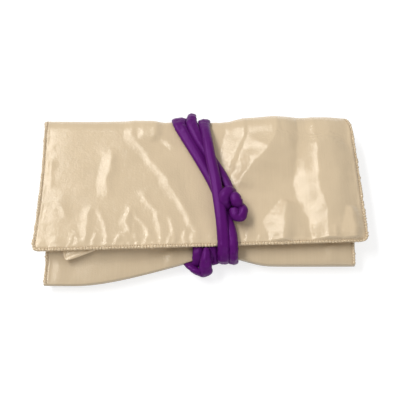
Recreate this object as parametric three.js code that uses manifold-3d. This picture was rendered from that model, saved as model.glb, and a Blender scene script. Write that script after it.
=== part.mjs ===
// A padded satin jewelry roll, folded shut in three and wound with a soft satin tie.
// Millimetres, +Z up. The roll lies on its back at z = 0, +X runs along its length
// and +Y points to the top fold. The origin is the bottom centre of the closed roll.
import * as THREE from "three";
import { mergeVertices } from "three/addons/utils/BufferGeometryUtils.js";
import Module from "manifold-3d";

const wasm = await Module();
wasm.setup();

// Overall sizes of the closed roll.
const hemWidth = 230; // flap, along its free edge
const hemFlare = 1; // how much wider the hem is than the top fold
const frontInset = 19; // how much narrower the turned-up front is
const rollDepth = 128; // top fold to the deepest point of the bottom fold

// Cloth and padding.
const cloth = 0.5; // satin and lining
const seat = 0.3; // clearance between pieces that touch
const layerGap = 0.4; // clearance between folded layers
const leastPadding = 0.8; // batting where the tie draws the roll in
const flapLoft = 4.2; // extra batting in the flap's crown
const backLoft = 6.0; // extra batting in the back, pressed flat by the table
const battingShare = 0.88; // batting's loft, as a share of the satin's that covers it
const frontBatting = 0.4; // thin batting in the turned-up front
const hemBand = 8; // unpadded border of every padded panel
const crownRun = 40; // stretch over which the flap's crown rises behind its hem
const crownPower = 8; // how squarely the padding meets the ends of the roll
const bellyFrontRun = 22; // stretch over which the back's belly fills out behind the bottom fold
const bellyRearRun = 16; // the same, in front of the top fold
const bellyFrontFill = 0.6; // share of the belly left at the bottom fold
const bellyRearFill = 0.86; // the same, at the top fold

// Folds.
const topFoldReach = 14; // how far the top fold stands past its panels
const topFoldWaist = 12.8; // the same, under the tie
const foldSlack = 3.5; // room between a fold's satin and its lining
const bottomReachRight = 50.2; // bottom fold, right half, from the origin
const bottomReachWaist = 46.2; // bottom fold, under the tie
const bottomNose = 13; // depth of the creased bottom fold
const bottomNoseWaist = 8;
const hemLeft = 43.2; // hem's distance in front of the origin, at its left corner
const hemRight = 36.6;
const hemCornerRadius = 5;
const hemCornerPull = 2.4; // how far the drooping corners draw the hem back
const sideDroop = 5; // how far the flap and the front sink at their ends
const droopRun = 16; // unfilled stretch that sinks, at each end
const frontFree = -4; // free edge of the turned-up front
const frontRun = 10; // stretch over which the front levels out behind the bottom fold
const frontShelf = 3.6; // low stretch that takes the tie under the hem
const frontDrop = 2.8; // how much lower it starts at the fold
const frontDropWaist = 4.4;

// Waist that the tie draws in. Its middle leans across the roll with the tie.
const waistMiddle = -6.5; // x of its middle at the top fold
const waistLean = 0.22; // x gained per millimetre towards the hem
const waistHalfFlap = 20;
const waistHalfBack = 26;
const waistHalfFront = 17;
const waistEase = 24; // stretch over which the padding swells again
const waistEaseFront = 36;
const bottomWaist = 18; // x of the bottom fold's deepest notch
const bottomEaseLeft = 110;
const bottomEaseRight = 36;

// Tie: a flat-lying satin tube.
const tieWidth = 7.2;
const tieThick = 5;
const tieFloor = 0.1; // its clearance above the table
const tieRise = tieThick / 2 + seat; // its middle above the cloth it lies on
const tieSides = 8;
const tieNoseRoom = 0.7; // its extra clearance round the creased bottom fold
const tieFacets = 1.6; // facets along the tie for each point of its route
const tieFarApart = 3; // points of a route between stretches that are measured for clearance
const knotWidth = 14.8;
const knotLength = 22;
const knotHeight = 11.6;
const knotSeat = 5.2; // its middle above the strands that lie on the flap
const knotSpot = [23.4, -6.8];

// Inner pockets, ring bar and zip.
const pocketHollow = 4.7;
const pocketMouth = -8; // y of the two slip pockets' mouths
const pocketWall = 0.8;
const pocketEdgeRoom = 19; // their outer sides, from the ends of the hem
const leftPocketWidth = 60;
const rightPocketWidth = 46;
const flapPocketRear = -3; // y of the slip pocket under the flap
const flapPocketFront = -32;
const flapPocketLeft = 7; // its ends, from the ends of the level middle
const flapPocketRight = 9;
const flapPocketTip = 5; // how far its left corner hangs out past the hem
const flapPocketTipRound = 6;
const flapPocketTipWidth = 20;
const flapPocketTaper = 38; // stretch over which the hanging edge runs back
const barDiameter = 7.8;
const barLength = 158;
const barMiddle = 7; // y of the ring bar
const strapThick = 0.6;
const strapLength = 22;
const tabLength = 15;
const tabWidth = 9;
const snapRadius = 4;
const snapHeight = 2.2;
const snapPin = 1.7;
const snapPinLength = 1.6;
const snapFlange = 0.7;
const snapBevel = 0.5;
const snapCapHeight = 0.9;
const zipMiddle = 31; // y of the zip
const zipLength = 160;
const zipPitch = 5;
const toothReach = 0.6;
const toothRoot = 0.9;
const toothStrip = 0.9;
const teethThick = 1.7;
const tapeWidth = 8;
const tapeThick = 0.4;
const tapeLap = 1.1; // how far the pocket panels stand back from the tapes' inner edges
const tapeSpareLeft = 3; // tape past the slider and past the last tooth
const tapeSpareRight = 8;
const stopLength = 2;
const zipPocketDepth = 32;
const zipPocketSpare = 16; // pocket past each end of the zip
const sliderLength = 9;
const sliderWidth = 7.2;
const sliderPlate = 0.6;
const sliderRest = 1.5; // slider's place past the first tooth
const wedgeWidth = 1.4;
const wedgeLength = 3;
const pullLength = 24;
const pullWidth = 5.6;
const pullThick = 0.6;
const bridgeBar = 1.2;
const bridgeSpan = 5;
const bridgeThick = 0.7;
const eyeRoom = 1.1; // clearance of the pull's eye round the bridge
const eyeEnd = 1.3; // metal round the eye
const eyeSide = 0.9;
const joinSink = 0.2; // overlap of blocks that join into one solid
const turnFacets = 20; // facets round a turned solid

// Levels, worked out from the layers upwards.
const panelStack = cloth + seat + leastPadding + seat + cloth;
const backValley = tieFloor + tieThick + seat;
const backTop = backValley + panelStack;
const pocketTop = backTop + pocketHollow + cloth;
const frontUnder = pocketTop + layerGap;
const frontTop = frontUnder + panelStack;
const barBottom = backTop + strapThick + seat;
const barTop = barBottom + barDiameter;
const flapPocketLevel = frontTop + layerGap;
const flapUnder = Math.max(flapPocketLevel + cloth + seat, barTop + layerGap);
const flapWaistTop = flapUnder + panelStack;

// Widths and fold lines.
const foldWidth = hemWidth - hemFlare;
const frontWidth = hemWidth - frontInset;
const droopFrom = hemWidth / 2 - droopRun;
const topFoldLine = rollDepth / 2 - topFoldReach;
const bottomReachLeft = rollDepth / 2;

// Finishes.
function finish(colour, roughness, metalness = 0) {
  return new THREE.MeshStandardMaterial({ color: colour, roughness, metalness });
}
const satin = finish(0xd7c5a7, 0.38);
const lining = finish(0xe2d4ba, 0.45);
const batting = finish(0xf3efe6, 0.95);
const purpleSatin = finish(0x57205f, 0.4);
const tapeCloth = finish(0xc9b797, 0.8);
const nylon = finish(0xd8c7a8, 0.5);
const brass = finish(0xc2a25e, 0.3, 1);

const roll = new THREE.Group();

function place(name, geometry, material) {
  const mesh = new THREE.Mesh(geometry, material);
  mesh.name = name;
  roll.add(mesh);
  return mesh;
}

// Plain helpers.
const clamp = (value) => Math.min(1, Math.max(0, value));
const mix = (a, b, t) => a + (b - a) * t;
function ease(value) {
  const t = clamp(value);
  return t * t * (3 - 2 * t);
}
function steps(count, from = 0, to = 1) {
  return Array.from({ length: count + 1 }, (_, i) => mix(from, to, i / count));
}

// How far the tie draws the roll in: 1 across the waist, 0 away from it.
function waist(x, y, half, run = waistEase) {
  const middle = waistMiddle + waistLean * (topFoldLine - y);
  return 1 - ease((Math.abs(x - middle) - half) / run);
}

// Share of the droop past the level middle, towards both ends.
function drooping(x) {
  return ease((Math.abs(x) - droopFrom) / droopRun);
}

// Outline of the closed roll, seen from above.
function hemLine(x) {
  return hemCornerPull * drooping(x) - mix(hemLeft, hemRight, x / hemWidth + 0.5);
}
function bottomEase(x) {
  const run = x < bottomWaist ? bottomEaseLeft : bottomEaseRight;
  return ease(Math.abs(x - bottomWaist) / run);
}
function bottomReach(x) {
  const end = x < bottomWaist ? bottomReachLeft : bottomReachRight;
  return mix(bottomReachWaist, end, bottomEase(x));
}
function noseDepth(x) {
  return mix(bottomNoseWaist, bottomNose, bottomEase(x));
}
function bottomFoldLine(x) {
  return noseDepth(x) - bottomReach(x);
}
function flapHalf(x, y) {
  const intoHem = y - hemLine(Math.sign(x) * hemWidth / 2);
  const half = mix(hemWidth, foldWidth, clamp(intoHem / (intoHem + topFoldLine - y))) / 2;
  const corner = clamp(1 - intoHem / hemCornerRadius);
  return half - hemCornerRadius * (1 - Math.sqrt(1 - corner * corner));
}
function backHalf(y) {
  const front = bottomReachLeft - bottomNose;
  return mix(frontWidth, foldWidth, clamp((y + front) / (topFoldLine + front))) / 2;
}
function sideCrown(x, half) {
  return 1 - Math.pow(Math.min(1, Math.abs(x) / half), crownPower);
}

// Surfaces of the three padded panels.
function flapFloor(x) {
  return flapUnder - sideDroop * drooping(x);
}
function flapTop(x, y, share = 1) {
  const half = flapHalf(x, y);
  const intoHem = y - hemLine(x);
  const border = ease(Math.min(half - Math.abs(x), intoHem) / hemBand);
  const crown = sideCrown(x, half) * (1 - Math.pow(1 - clamp(intoHem / crownRun), 3));
  const loft = share * flapLoft * crown * (1 - waist(x, y, waistHalfFlap));
  return flapFloor(x) + 2 * cloth + seat + border * (leastPadding + seat + loft);
}
function backUnder(x, y, share = 1) {
  const front = mix(bellyFrontFill, 1, ease((y - bottomFoldLine(x)) / bellyFrontRun));
  const rear = mix(bellyRearFill, 1, ease((topFoldLine - y) / bellyRearRun));
  const crown = sideCrown(x, backHalf(y)) * front * rear;
  const loft = share * backLoft * crown * (1 - waist(x, y, waistHalfBack));
  return Math.max(0, backValley - loft);
}
function frontLevel(x, y) {
  const drawn = waist(x, y, waistHalfFront, waistEaseFront);
  const drop = mix(frontDrop, frontDropWaist, drawn);
  const level = ease((y - bottomFoldLine(x) - frontShelf * drawn) / frontRun);
  const sunk = frontTop - sideDroop * drooping(x) - drop * (1 - level);
  return Math.max(sunk, backTop + layerGap + panelStack);
}

// A box bent into a sheet: across, along and through give each point its place.
function bentSheet(across, along, position) {
  const geometry = new THREE.BoxGeometry(1, 1, 1, across.length - 1, along.length - 1, 1);
  const points = geometry.attributes.position;
  for (let i = 0; i < points.count; i++) {
    const u = across[Math.round((points.getX(i) + 0.5) * (across.length - 1))];
    const v = along[Math.round((points.getY(i) + 0.5) * (along.length - 1))];
    const spot = position(u, v, points.getZ(i) > 0);
    points.setXYZ(i, ...spot);
  }
  return geometry;
}

const columns = steps(22, -1, 1);
const innerColumns = columns.slice(1, -1);

// Flap: crowned satin over batting, on a flat lining.
const flapRows = [0, 0.03, 0.07, 0.14, 0.24, 0.36, 0.5, 0.64, 0.78, 0.9, 1];
function flapSpot(u, v) {
  const hem = hemLine(u * hemWidth / 2);
  const y = mix(hem, topFoldLine, v);
  return [u * flapHalf(u, y), y];
}
place("flap_satin", bentSheet(columns, flapRows, (u, v, outer) => {
  const [x, y] = flapSpot(u, v);
  return [x, y, flapTop(x, y) - (outer ? 0 : cloth)];
}), satin);
place("flap_padding", bentSheet(innerColumns, flapRows.slice(2, -1), (u, v, outer) => {
  const [x, y] = flapSpot(u, v);
  return [x, y, outer ? flapTop(x, y, battingShare) - cloth - seat : flapFloor(x) + cloth + seat];
}), batting);
place("flap_lining", bentSheet(columns, [...flapRows.slice(0, 4), 1], (u, v, outer) => {
  const [x, y] = flapSpot(u, v);
  return [x, y, flapFloor(x) + (outer ? cloth : 0)];
}), lining);

// Slip pocket under the flap. Its left corner hangs out past the hem.
function flapPocketShape() {
  const shape = new THREE.Shape();
  const left = -droopFrom + flapPocketLeft;
  const right = droopFrom - flapPocketRight;
  const tip = -hemLeft - flapPocketTip;
  const bend = left + (flapPocketTipWidth + flapPocketTaper) / 2;
  shape.moveTo(left, flapPocketRear);
  shape.lineTo(left, -hemLeft);
  shape.quadraticCurveTo(left, tip, left + flapPocketTipRound, tip);
  shape.lineTo(left + flapPocketTipWidth, -hemLeft);
  shape.quadraticCurveTo(bend, flapPocketFront, left + flapPocketTaper, flapPocketFront);
  shape.lineTo(right, flapPocketFront);
  shape.lineTo(right, flapPocketRear);
  return shape;
}
const flapPocket = new THREE.ExtrudeGeometry(flapPocketShape(), {
  depth: cloth, bevelEnabled: false, curveSegments: 5,
});
flapPocket.translate(0, 0, flapUnder - seat - cloth);
place("flap_slip_pocket", flapPocket, lining);

// Back: flat lining over batting, with the satin bellied down to the table.
const backRows = [0, 0.05, 0.13, 0.24, 0.38, 0.54, 0.7, 0.84, 0.94, 1];
function backSpot(u, v) {
  const front = bottomFoldLine(u * frontWidth / 2);
  const y = mix(front, topFoldLine, v);
  return [u * backHalf(y), y];
}
const backLiningUnder = backTop - cloth;
place("back_satin", bentSheet(columns, backRows, (u, v, outer) => {
  const [x, y] = backSpot(u, v);
  return [x, y, backUnder(x, y) + (outer ? cloth : 0)];
}), satin);
place("back_padding", bentSheet(innerColumns, backRows.slice(1, -1), (u, v, outer) => {
  const [x, y] = backSpot(u, v);
  return [x, y, outer ? backLiningUnder - seat : backUnder(x, y, battingShare) + cloth + seat];
}), batting);
place("back_lining", bentSheet(columns, [0, 1], (u, v, outer) => {
  const [x, y] = backSpot(u, v);
  return [x, y, outer ? backTop : backLiningUnder];
}), lining);

// Turned-up front: three layers that level out behind the bottom fold.
const frontRows = [0, 0.09, 0.18, 0.27, 0.38, 0.52, 0.72, 1];
function frontSpot(u, v) {
  const x = u * frontWidth / 2;
  return [x, mix(bottomFoldLine(x), frontFree, v)];
}
function frontLayer(name, above, thick, across, along, material) {
  place(name, bentSheet(across, along, (u, v, outer) => {
    const [x, y] = frontSpot(u, v);
    return [x, y, frontLevel(x, y) - above - (outer ? 0 : thick)];
  }), material);
}
frontLayer("front_satin", 0, cloth, columns, frontRows, satin);
const frontBattingTop = (panelStack - frontBatting) / 2;
frontLayer("front_padding", frontBattingTop, frontBatting, innerColumns, frontRows.slice(1, -1), batting);
frontLayer("front_lining", panelStack - cloth, cloth, columns, frontRows, lining);

// Folds: each bends a half ellipse from the edge of one panel to the edge of the next.
function foldSheet(count, section) {
  return bentSheet(columns, steps(count, Math.PI / 2, -Math.PI / 2), (u, angle, outer) => {
    const { x, line, reach, low, high, side } = section(u);
    const inset = outer ? 0 : cloth;
    const y = line + side * (seat + (reach - inset) * Math.cos(angle));
    const z = (low + high) / 2 + ((high - low) / 2 - inset) * Math.sin(angle);
    return [side * x, y, z];
  });
}
function topFoldReachAt(x) {
  return mix(topFoldReach, topFoldWaist, waist(x, topFoldLine, waistHalfFlap)) - seat;
}
place("top_fold_satin", foldSheet(8, (u) => {
  const x = u * foldWidth / 2;
  const low = backUnder(x, topFoldLine);
  const high = flapTop(x, topFoldLine);
  return { x, line: topFoldLine, reach: topFoldReachAt(x), low, high, side: 1 };
}), satin);
place("top_fold_lining", foldSheet(4, (u) => {
  const x = u * foldWidth / 2;
  const reach = topFoldReachAt(x) - foldSlack;
  const high = flapFloor(x) + cloth;
  return { x, line: topFoldLine, reach, low: backLiningUnder, high, side: 1 };
}), lining);
place("bottom_fold_satin", foldSheet(6, (u) => {
  const x = -u * frontWidth / 2;
  const line = bottomFoldLine(x);
  const low = backUnder(x, line);
  const high = frontLevel(x, line);
  return { x: -x, line, reach: noseDepth(x) - seat, low, high, side: -1 };
}), satin);
place("bottom_fold_lining", foldSheet(4, (u) => {
  const x = -u * frontWidth / 2;
  const line = bottomFoldLine(x);
  const reach = noseDepth(x) - seat - foldSlack;
  const high = frontLevel(x, line) - panelStack + cloth;
  return { x: -x, line, reach, low: backLiningUnder, high, side: -1 };
}), lining);

// A plain box from its lowest to its highest corner.
function block(low, high) {
  const size = high.map((value, i) => value - low[i]);
  const geometry = new THREE.BoxGeometry(...size);
  geometry.translate(...high.map((value, i) => (value + low[i]) / 2));
  return geometry;
}

// Two slip pockets on the back lining, under the front, open towards the ring bar.
function slipPocket(side, [left, right], inner) {
  const bottom = bottomFoldLine(inner) + frontRun;
  const roof = pocketTop - cloth;
  place(`${side}_pocket_panel`, block([left, bottom, roof], [right, pocketMouth, pocketTop]), lining);
  const outerIsLeft = side === "left";
  const leftName = `${side}_pocket_${outerIsLeft ? "outer" : "inner"}_side`;
  const rightName = `${side}_pocket_${outerIsLeft ? "inner" : "outer"}_side`;
  const back = bottom + pocketWall;
  place(leftName, block([left, back, backTop], [left + pocketWall, pocketMouth, roof]), lining);
  place(rightName, block([right - pocketWall, back, backTop], [right, pocketMouth, roof]), lining);
  place(`${side}_pocket_bottom`, block([left, bottom, backTop], [right, back, roof]), lining);
}
const pocketOuter = hemWidth / 2 - pocketEdgeRoom;
const leftPocketInner = -pocketOuter + leftPocketWidth;
const rightPocketInner = pocketOuter - rightPocketWidth;
slipPocket("left", [-pocketOuter, leftPocketInner], leftPocketInner);
slipPocket("right", [rightPocketInner, pocketOuter], rightPocketInner);

// A solid turned about the upright line through (x, y), from its outline of radius and height.
function turned(outline, x, y) {
  const profile = outline.map(([radius, height]) => new THREE.Vector2(radius, height));
  const geometry = new THREE.LatheGeometry(profile, turnFacets);
  geometry.rotateX(Math.PI / 2);
  geometry.translate(x, y, 0);
  return geometry;
}

// Ring bar: a stuffed satin tube, sewn down by a strap at its left end and snapped at its right.
const barEnd = barLength / 2;
const barLevel = barBottom + barDiameter / 2;
function barSolid(outline) {
  const profile = outline.map(([radius, height]) => new THREE.Vector2(radius, height));
  const geometry = new THREE.LatheGeometry(profile, turnFacets);
  geometry.rotateZ(-Math.PI / 2);
  geometry.translate(0, barMiddle, barLevel);
  return geometry;
}
const barOuter = barDiameter / 2;
const barInner = barOuter - cloth;
place("ring_bar_cover", barSolid([
  [barInner, -barEnd], [barOuter, -barEnd], [barOuter, barEnd], [barInner, barEnd], [barInner, -barEnd],
]), lining);
const coreRadius = barInner - seat;
place("ring_bar_core", barSolid([
  [0, -barEnd], [coreRadius, -barEnd], [coreRadius, barEnd], [0, barEnd],
]), batting);
place("ring_bar_strap", block(
  [-barEnd - strapLength / 2, barMiddle - tabWidth / 2, backTop],
  [-barEnd + strapLength / 2, barMiddle + tabWidth / 2, backTop + strapThick],
), lining);
const socketTop = backTop + snapHeight;
const tabUnder = socketTop + seat + snapFlange;
const snapX = barEnd + seat + tabLength / 2;
place("ring_bar_tab", block(
  [barEnd + seat, barMiddle - tabWidth / 2, tabUnder],
  [barEnd + seat + tabLength, barMiddle + tabWidth / 2, tabUnder + cloth],
), lining);
const socketBore = snapPin + seat;
const socketFloor = socketTop - snapPinLength;
place("snap_socket", turned([
  [0, backTop], [snapRadius, backTop], [snapRadius, socketTop - snapBevel],
  [snapRadius - snapBevel, socketTop],
  [socketBore, socketTop], [socketBore, socketFloor], [0, socketFloor],
], snapX, barMiddle), brass);
const pinTip = socketFloor + seat;
place("snap_stud", turned([
  [0, pinTip], [snapPin, pinTip], [snapPin, tabUnder - snapFlange],
  [snapRadius - snapBevel, tabUnder - snapFlange], [snapRadius - snapBevel, tabUnder], [0, tabUnder],
], snapX, barMiddle), brass);
const capFloor = tabUnder + cloth;
const capDome = steps(3, 0, Math.PI / 3).map((turn) => (
  [snapRadius * Math.cos(turn), capFloor + snapCapHeight * Math.sin(turn)]
));
place("snap_cap", turned([
  [0, capFloor], ...capDome, [0, capFloor + snapCapHeight],
], snapX, barMiddle), brass);

// Zip pocket: two panels over a zip, on low seams round its edge.
const tapeUnder = backTop + seat + sliderPlate + seat;
const tapeTop = tapeUnder + tapeThick;
const zipPanelUnder = tapeTop + seat;
const zipPanelTop = zipPanelUnder + cloth;
const teethTop = tapeUnder + teethThick;
const zipHalf = zipLength / 2;
const zipPocketEnd = zipHalf + zipPocketSpare;
const rowBack = toothRoot + toothStrip;
const tapeInner = rowBack + seat;
const panelInner = tapeInner + tapeLap;
const sliderRight = -zipHalf - sliderRest;
const sliderLeft = sliderRight - sliderLength;
for (const [side, sign] of [["front", -1], ["rear", 1]]) {
  const span = (from, to) => [zipMiddle + sign * from, zipMiddle + sign * to].sort((a, b) => a - b);
  const [panelLow, panelHigh] = span(panelInner, zipPocketDepth / 2);
  place(`zip_pocket_${side}_panel`, block(
    [-zipPocketEnd, panelLow, zipPanelUnder], [zipPocketEnd, panelHigh, zipPanelTop],
  ), lining);
  const [tapeLow, tapeHigh] = span(tapeInner, tapeInner + tapeWidth);
  place(`zip_tape_${side}`, block(
    [sliderLeft - tapeSpareLeft, tapeLow, tapeUnder], [zipHalf + tapeSpareRight, tapeHigh, tapeTop],
  ), tapeCloth);
  const [seamLow, seamHigh] = span(zipPocketDepth / 2 - pocketWall, zipPocketDepth / 2);
  place(`zip_pocket_${side}_seam`, block(
    [-zipPocketEnd, seamLow, backTop], [zipPocketEnd, seamHigh, zipPanelUnder],
  ), lining);
}
const seamReach = zipPocketDepth / 2 - pocketWall;
for (const [side, sign] of [["left", -1], ["right", 1]]) {
  const ends = [sign * (zipPocketEnd - pocketWall), sign * zipPocketEnd].sort((a, b) => a - b);
  place(`zip_pocket_${side}_seam`, block(
    [ends[0], zipMiddle - seamReach, backTop], [ends[1], zipMiddle + seamReach, zipPanelUnder],
  ), lining);
}

// Zip teeth: two combs that mesh along the middle of the zip.
const toothWidth = zipPitch / 2 - seat;
const toothCount = Math.floor(zipLength / zipPitch);
function teethRow(sign) {
  const shape = new THREE.Shape();
  const shift = sign > 0 ? zipPitch / 2 : 0;
  shape.moveTo(-zipHalf, sign * rowBack);
  shape.lineTo(-zipHalf, sign * toothRoot);
  for (let i = 0; i < toothCount; i++) {
    const left = -zipHalf + i * zipPitch + shift + seat;
    shape.lineTo(left, sign * toothRoot);
    shape.lineTo(left, -sign * toothReach);
    shape.lineTo(left + toothWidth, -sign * toothReach);
    shape.lineTo(left + toothWidth, sign * toothRoot);
  }
  shape.lineTo(zipHalf + seat, sign * toothRoot);
  shape.lineTo(zipHalf + seat, sign * rowBack);
  const geometry = new THREE.ExtrudeGeometry(shape, { depth: teethThick, bevelEnabled: false });
  geometry.translate(0, zipMiddle, tapeUnder);
  return geometry;
}
place("zip_teeth_front", teethRow(-1), nylon);
place("zip_teeth_rear", teethRow(1), nylon);
place("zip_top_stop", block(
  [sliderLeft - seat - stopLength, zipMiddle - rowBack, tapeUnder],
  [sliderLeft - seat, zipMiddle + rowBack, teethTop],
), brass);
place("zip_bottom_stop", block(
  [zipHalf + 2 * seat, zipMiddle - rowBack, tapeUnder],
  [zipHalf + 2 * seat + stopLength, zipMiddle + rowBack, teethTop],
), brass);

// Closed solids for joining.
function solid(geometry) {
  const bare = new THREE.BufferGeometry();
  bare.setAttribute("position", geometry.attributes.position.clone());
  if (geometry.index) bare.setIndex(geometry.index.clone());
  const merged = mergeVertices(bare, 1e-4);
  return new wasm.Manifold(new wasm.Mesh({
    numProp: 3,
    vertProperties: new Float32Array(merged.attributes.position.array),
    triVerts: new Uint32Array(merged.index.array),
  }));
}
function joined(...geometries) {
  const mesh = geometries.map(solid).reduce((whole, piece) => whole.add(piece)).getMesh();
  const geometry = new THREE.BufferGeometry();
  geometry.setAttribute("position", new THREE.BufferAttribute(mesh.vertProperties, 3));
  geometry.setIndex(new THREE.BufferAttribute(mesh.triVerts, 1));
  return geometry;
}

// Slider: two plates joined by a wedge, with a bridge for the pull.
const plateLow = backTop + seat;
const plateHigh = teethTop + seat;
const plateTop = plateHigh + sliderPlate;
const bridgeUnder = plateTop + pullThick + 3 * seat;
const sliderMiddle = (sliderLeft + sliderRight) / 2;
const legX = [sliderMiddle - bridgeSpan / 2, sliderMiddle + bridgeSpan / 2];
function sliderPlateAt(low) {
  return block(
    [sliderLeft, zipMiddle - sliderWidth / 2, low],
    [sliderRight, zipMiddle + sliderWidth / 2, low + sliderPlate],
  );
}
function bridgeLeg(x) {
  const half = bridgeBar / 2;
  return block(
    [x - half, zipMiddle - half, plateTop - joinSink], [x + half, zipMiddle + half, bridgeUnder + joinSink],
  );
}
place("zip_slider", joined(
  sliderPlateAt(plateLow),
  sliderPlateAt(plateHigh),
  block(
    [sliderLeft, zipMiddle - wedgeWidth / 2, plateLow + joinSink],
    [sliderLeft + wedgeLength, zipMiddle + wedgeWidth / 2, plateTop - joinSink],
  ),
  bridgeLeg(legX[0]),
  bridgeLeg(legX[1]),
  block(
    [legX[0] - bridgeBar / 2, zipMiddle - bridgeBar / 2, bridgeUnder],
    [legX[1] + bridgeBar / 2, zipMiddle + bridgeBar / 2, bridgeUnder + bridgeThick],
  ),
), brass);

// Pull: a long tab whose eye goes round the bridge's right leg.
const eyeReach = bridgeBar / 2 + eyeRoom;
function pullShape() {
  const half = pullWidth / 2;
  const shape = new THREE.Shape();
  const left = -eyeReach - eyeEnd;
  const right = left + pullLength;
  shape.moveTo(left, -half);
  shape.lineTo(right - half, -half);
  shape.absarc(right - half, 0, half, -Math.PI / 2, Math.PI / 2, false);
  shape.lineTo(left, half);
  const eyeHalf = half - eyeSide;
  const eye = new THREE.Path();
  eye.moveTo(-eyeReach, -eyeHalf);
  eye.lineTo(-eyeReach, eyeHalf);
  eye.lineTo(eyeReach, eyeHalf);
  eye.lineTo(eyeReach, -eyeHalf);
  shape.holes.push(eye);
  return shape;
}
const pull = new THREE.ExtrudeGeometry(pullShape(), {
  depth: pullThick, bevelEnabled: false, curveSegments: 8,
});
pull.translate(legX[1], zipMiddle, plateTop + seat);
place("zip_pull", pull, brass);

// Tie: soft tubes of oval section, wound about the roll's waist.
// Places that its middle line passes, seen in the section across the roll.
const onTop = flapWaistTop + tieRise;
const underBack = tieFloor + tieThick / 2;
const foldMiddle = (flapWaistTop + backValley) / 2;
const foldHalf = (flapWaistTop - backValley) / 2 + tieRise;
const noseTop = frontTop - frontDropWaist;
const noseMiddle = (noseTop + backValley) / 2;
const noseHalf = (noseTop - backValley) / 2 + tieRise;
const tuckLevel = noseTop + tieRise;
const degrees = (value) => value * Math.PI / 180;

function roundFold(x, angle, slack) {
  const reach = topFoldWaist + tieRise + slack;
  const turn = degrees(angle);
  return [x, topFoldLine + reach * Math.cos(turn), foldMiddle + foldHalf * Math.sin(turn)];
}
function roundNose(x, angle) {
  const turn = degrees(angle);
  const reach = noseDepth(x) + tieRise + tieNoseRoom;
  return [x, bottomFoldLine(x) - reach * Math.cos(turn), noseMiddle + noseHalf * Math.sin(turn)];
}
// Under the bottom fold, along the back and over the top fold.
function roundBack(frontX, rearX, slack) {
  const route = [roundNose(frontX, 0), roundNose(frontX, -50)];
  for (const share of [0.04, 0.28, 0.52, 0.76, 0.96]) {
    const y = mix(bottomFoldLine(frontX), topFoldLine, share);
    route.push([mix(frontX, rearX, share), y, underBack]);
  }
  for (const angle of [-65, -35, 0, 35, 65]) route.push(roundFold(rearX, angle, slack));
  return route;
}
function overHem(x) {
  return [[x, hemLine(x) - 2.8, flapUnder + 3.4], [x, hemLine(x) - 7.6, noseTop + 3.6]];
}
function tuckedUnderHem(x) {
  return [[x, hemLine(x) + 5.5, tuckLevel], [x, hemLine(x) + 1, tuckLevel], roundNose(x, 48)];
}

// Where each strand crosses the hem and the top fold.
const strandAtHem = { first: -1.7, second: 8.2, third: 16.3, fourth: 24.4 };
const strandAtFold = { first: -17.4, second: -8.8, third: 2.6 };

// Wrapped length: out from under the hem, twice round the roll, its end under the back.
const wrappedRoute = [
  ...tuckedUnderHem(strandAtHem.first),
  ...roundBack(strandAtHem.first, strandAtFold.first, 0),
  [-10.8, 46, onTop], [-1.4, 25, onTop], [6.2, 8, onTop], [13.6, -8, onTop], [20.4, -22, onTop],
  [23.8, -33, onTop],
  ...overHem(strandAtHem.fourth),
  ...roundBack(strandAtHem.fourth, strandAtFold.third, 0),
  [5.6, 47, onTop + 2.2], [6.4, 37, onTop + 5.3], [7.6, 24, onTop + 5.8], [9.6, 8, onTop + 5.8],
  [11.6, -8, onTop + 5.7], [13.6, -20, onTop + 5], [15.4, -30, onTop + 2.6], [16.2, -37, onTop + 0.3],
  ...overHem(strandAtHem.third),
  roundNose(strandAtHem.third, 0), roundNose(strandAtHem.third, -50),
  [15.9, -35, underBack], [14.6, -28, underBack],
];
// Knotted length: out from under the hem, once round the roll, to its end knot on the flap.
const knottedRoute = [
  ...tuckedUnderHem(strandAtHem.second),
  ...roundBack(strandAtHem.second, strandAtFold.second, 3),
  [-2.2, 46, onTop + 0.4], [3.4, 35, onTop], [9, 23.5, onTop], [14, 13.5, onTop], [17.4, 7, onTop + 0.8],
  [19.8, 2.6, onTop + 3],
];
// Tucked end: from the hem down over the others and away under the roll's left.
const tuckedRoute = [
  [3.3, -44.2, flapUnder + 1.8], [3.3, -48, flapUnder + 0.4], [3.3, -51.8, 13.8], [3.2, -53.9, 9],
  [2, -55.2, 5.6], [-2.2, -55.3, 4], [-7.2, -52, 3.4], [-10.6, -46.6, 3.1], [-12.4, -40, underBack],
  [-13.2, -33, underBack],
];

// Rings of points along a route, flat side to the roll.
function tieRings(route) {
  const curve = new THREE.CatmullRomCurve3(route.map((spot) => new THREE.Vector3(...spot)));
  const count = Math.round(tieFacets * (route.length - 1));
  const rings = [];
  for (let i = 0; i <= count; i++) {
    const middle = curve.getPoint(i / count);
    const ahead = curve.getTangent(i / count);
    const coreY = THREE.MathUtils.clamp(middle.y, bottomFoldLine(middle.x), topFoldLine);
    const outward = new THREE.Vector3(0, middle.y - coreY, middle.z - foldMiddle);
    if (outward.length() < 1) outward.set(0, 0, 1);
    outward.addScaledVector(ahead, -outward.dot(ahead)).normalize();
    const aside = new THREE.Vector3().crossVectors(outward, ahead);
    rings.push(Array.from({ length: tieSides }, (_, k) => {
      const turn = 2 * Math.PI * (k + 0.5) / tieSides;
      const spot = middle.clone().addScaledVector(aside, tieWidth / 2 * Math.cos(turn));
      return spot.addScaledVector(outward, tieThick / 2 * Math.sin(turn));
    }));
  }
  return rings;
}
function tubeFrom(rings) {
  const points = rings.flat();
  const last = (rings.length - 1) * tieSides;
  const index = [];
  for (let i = 0; i < last; i += tieSides) {
    for (let k = 0; k < tieSides; k++) {
      const a = i + k;
      const b = i + (k + 1) % tieSides;
      index.push(a, b, b + tieSides, a, b + tieSides, a + tieSides);
    }
  }
  for (let k = 1; k < tieSides - 1; k++) {
    index.push(0, k + 1, k, last, last + k, last + k + 1);
  }
  const geometry = new THREE.BufferGeometry().setFromPoints(points);
  geometry.setIndex(index);
  return geometry;
}
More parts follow.
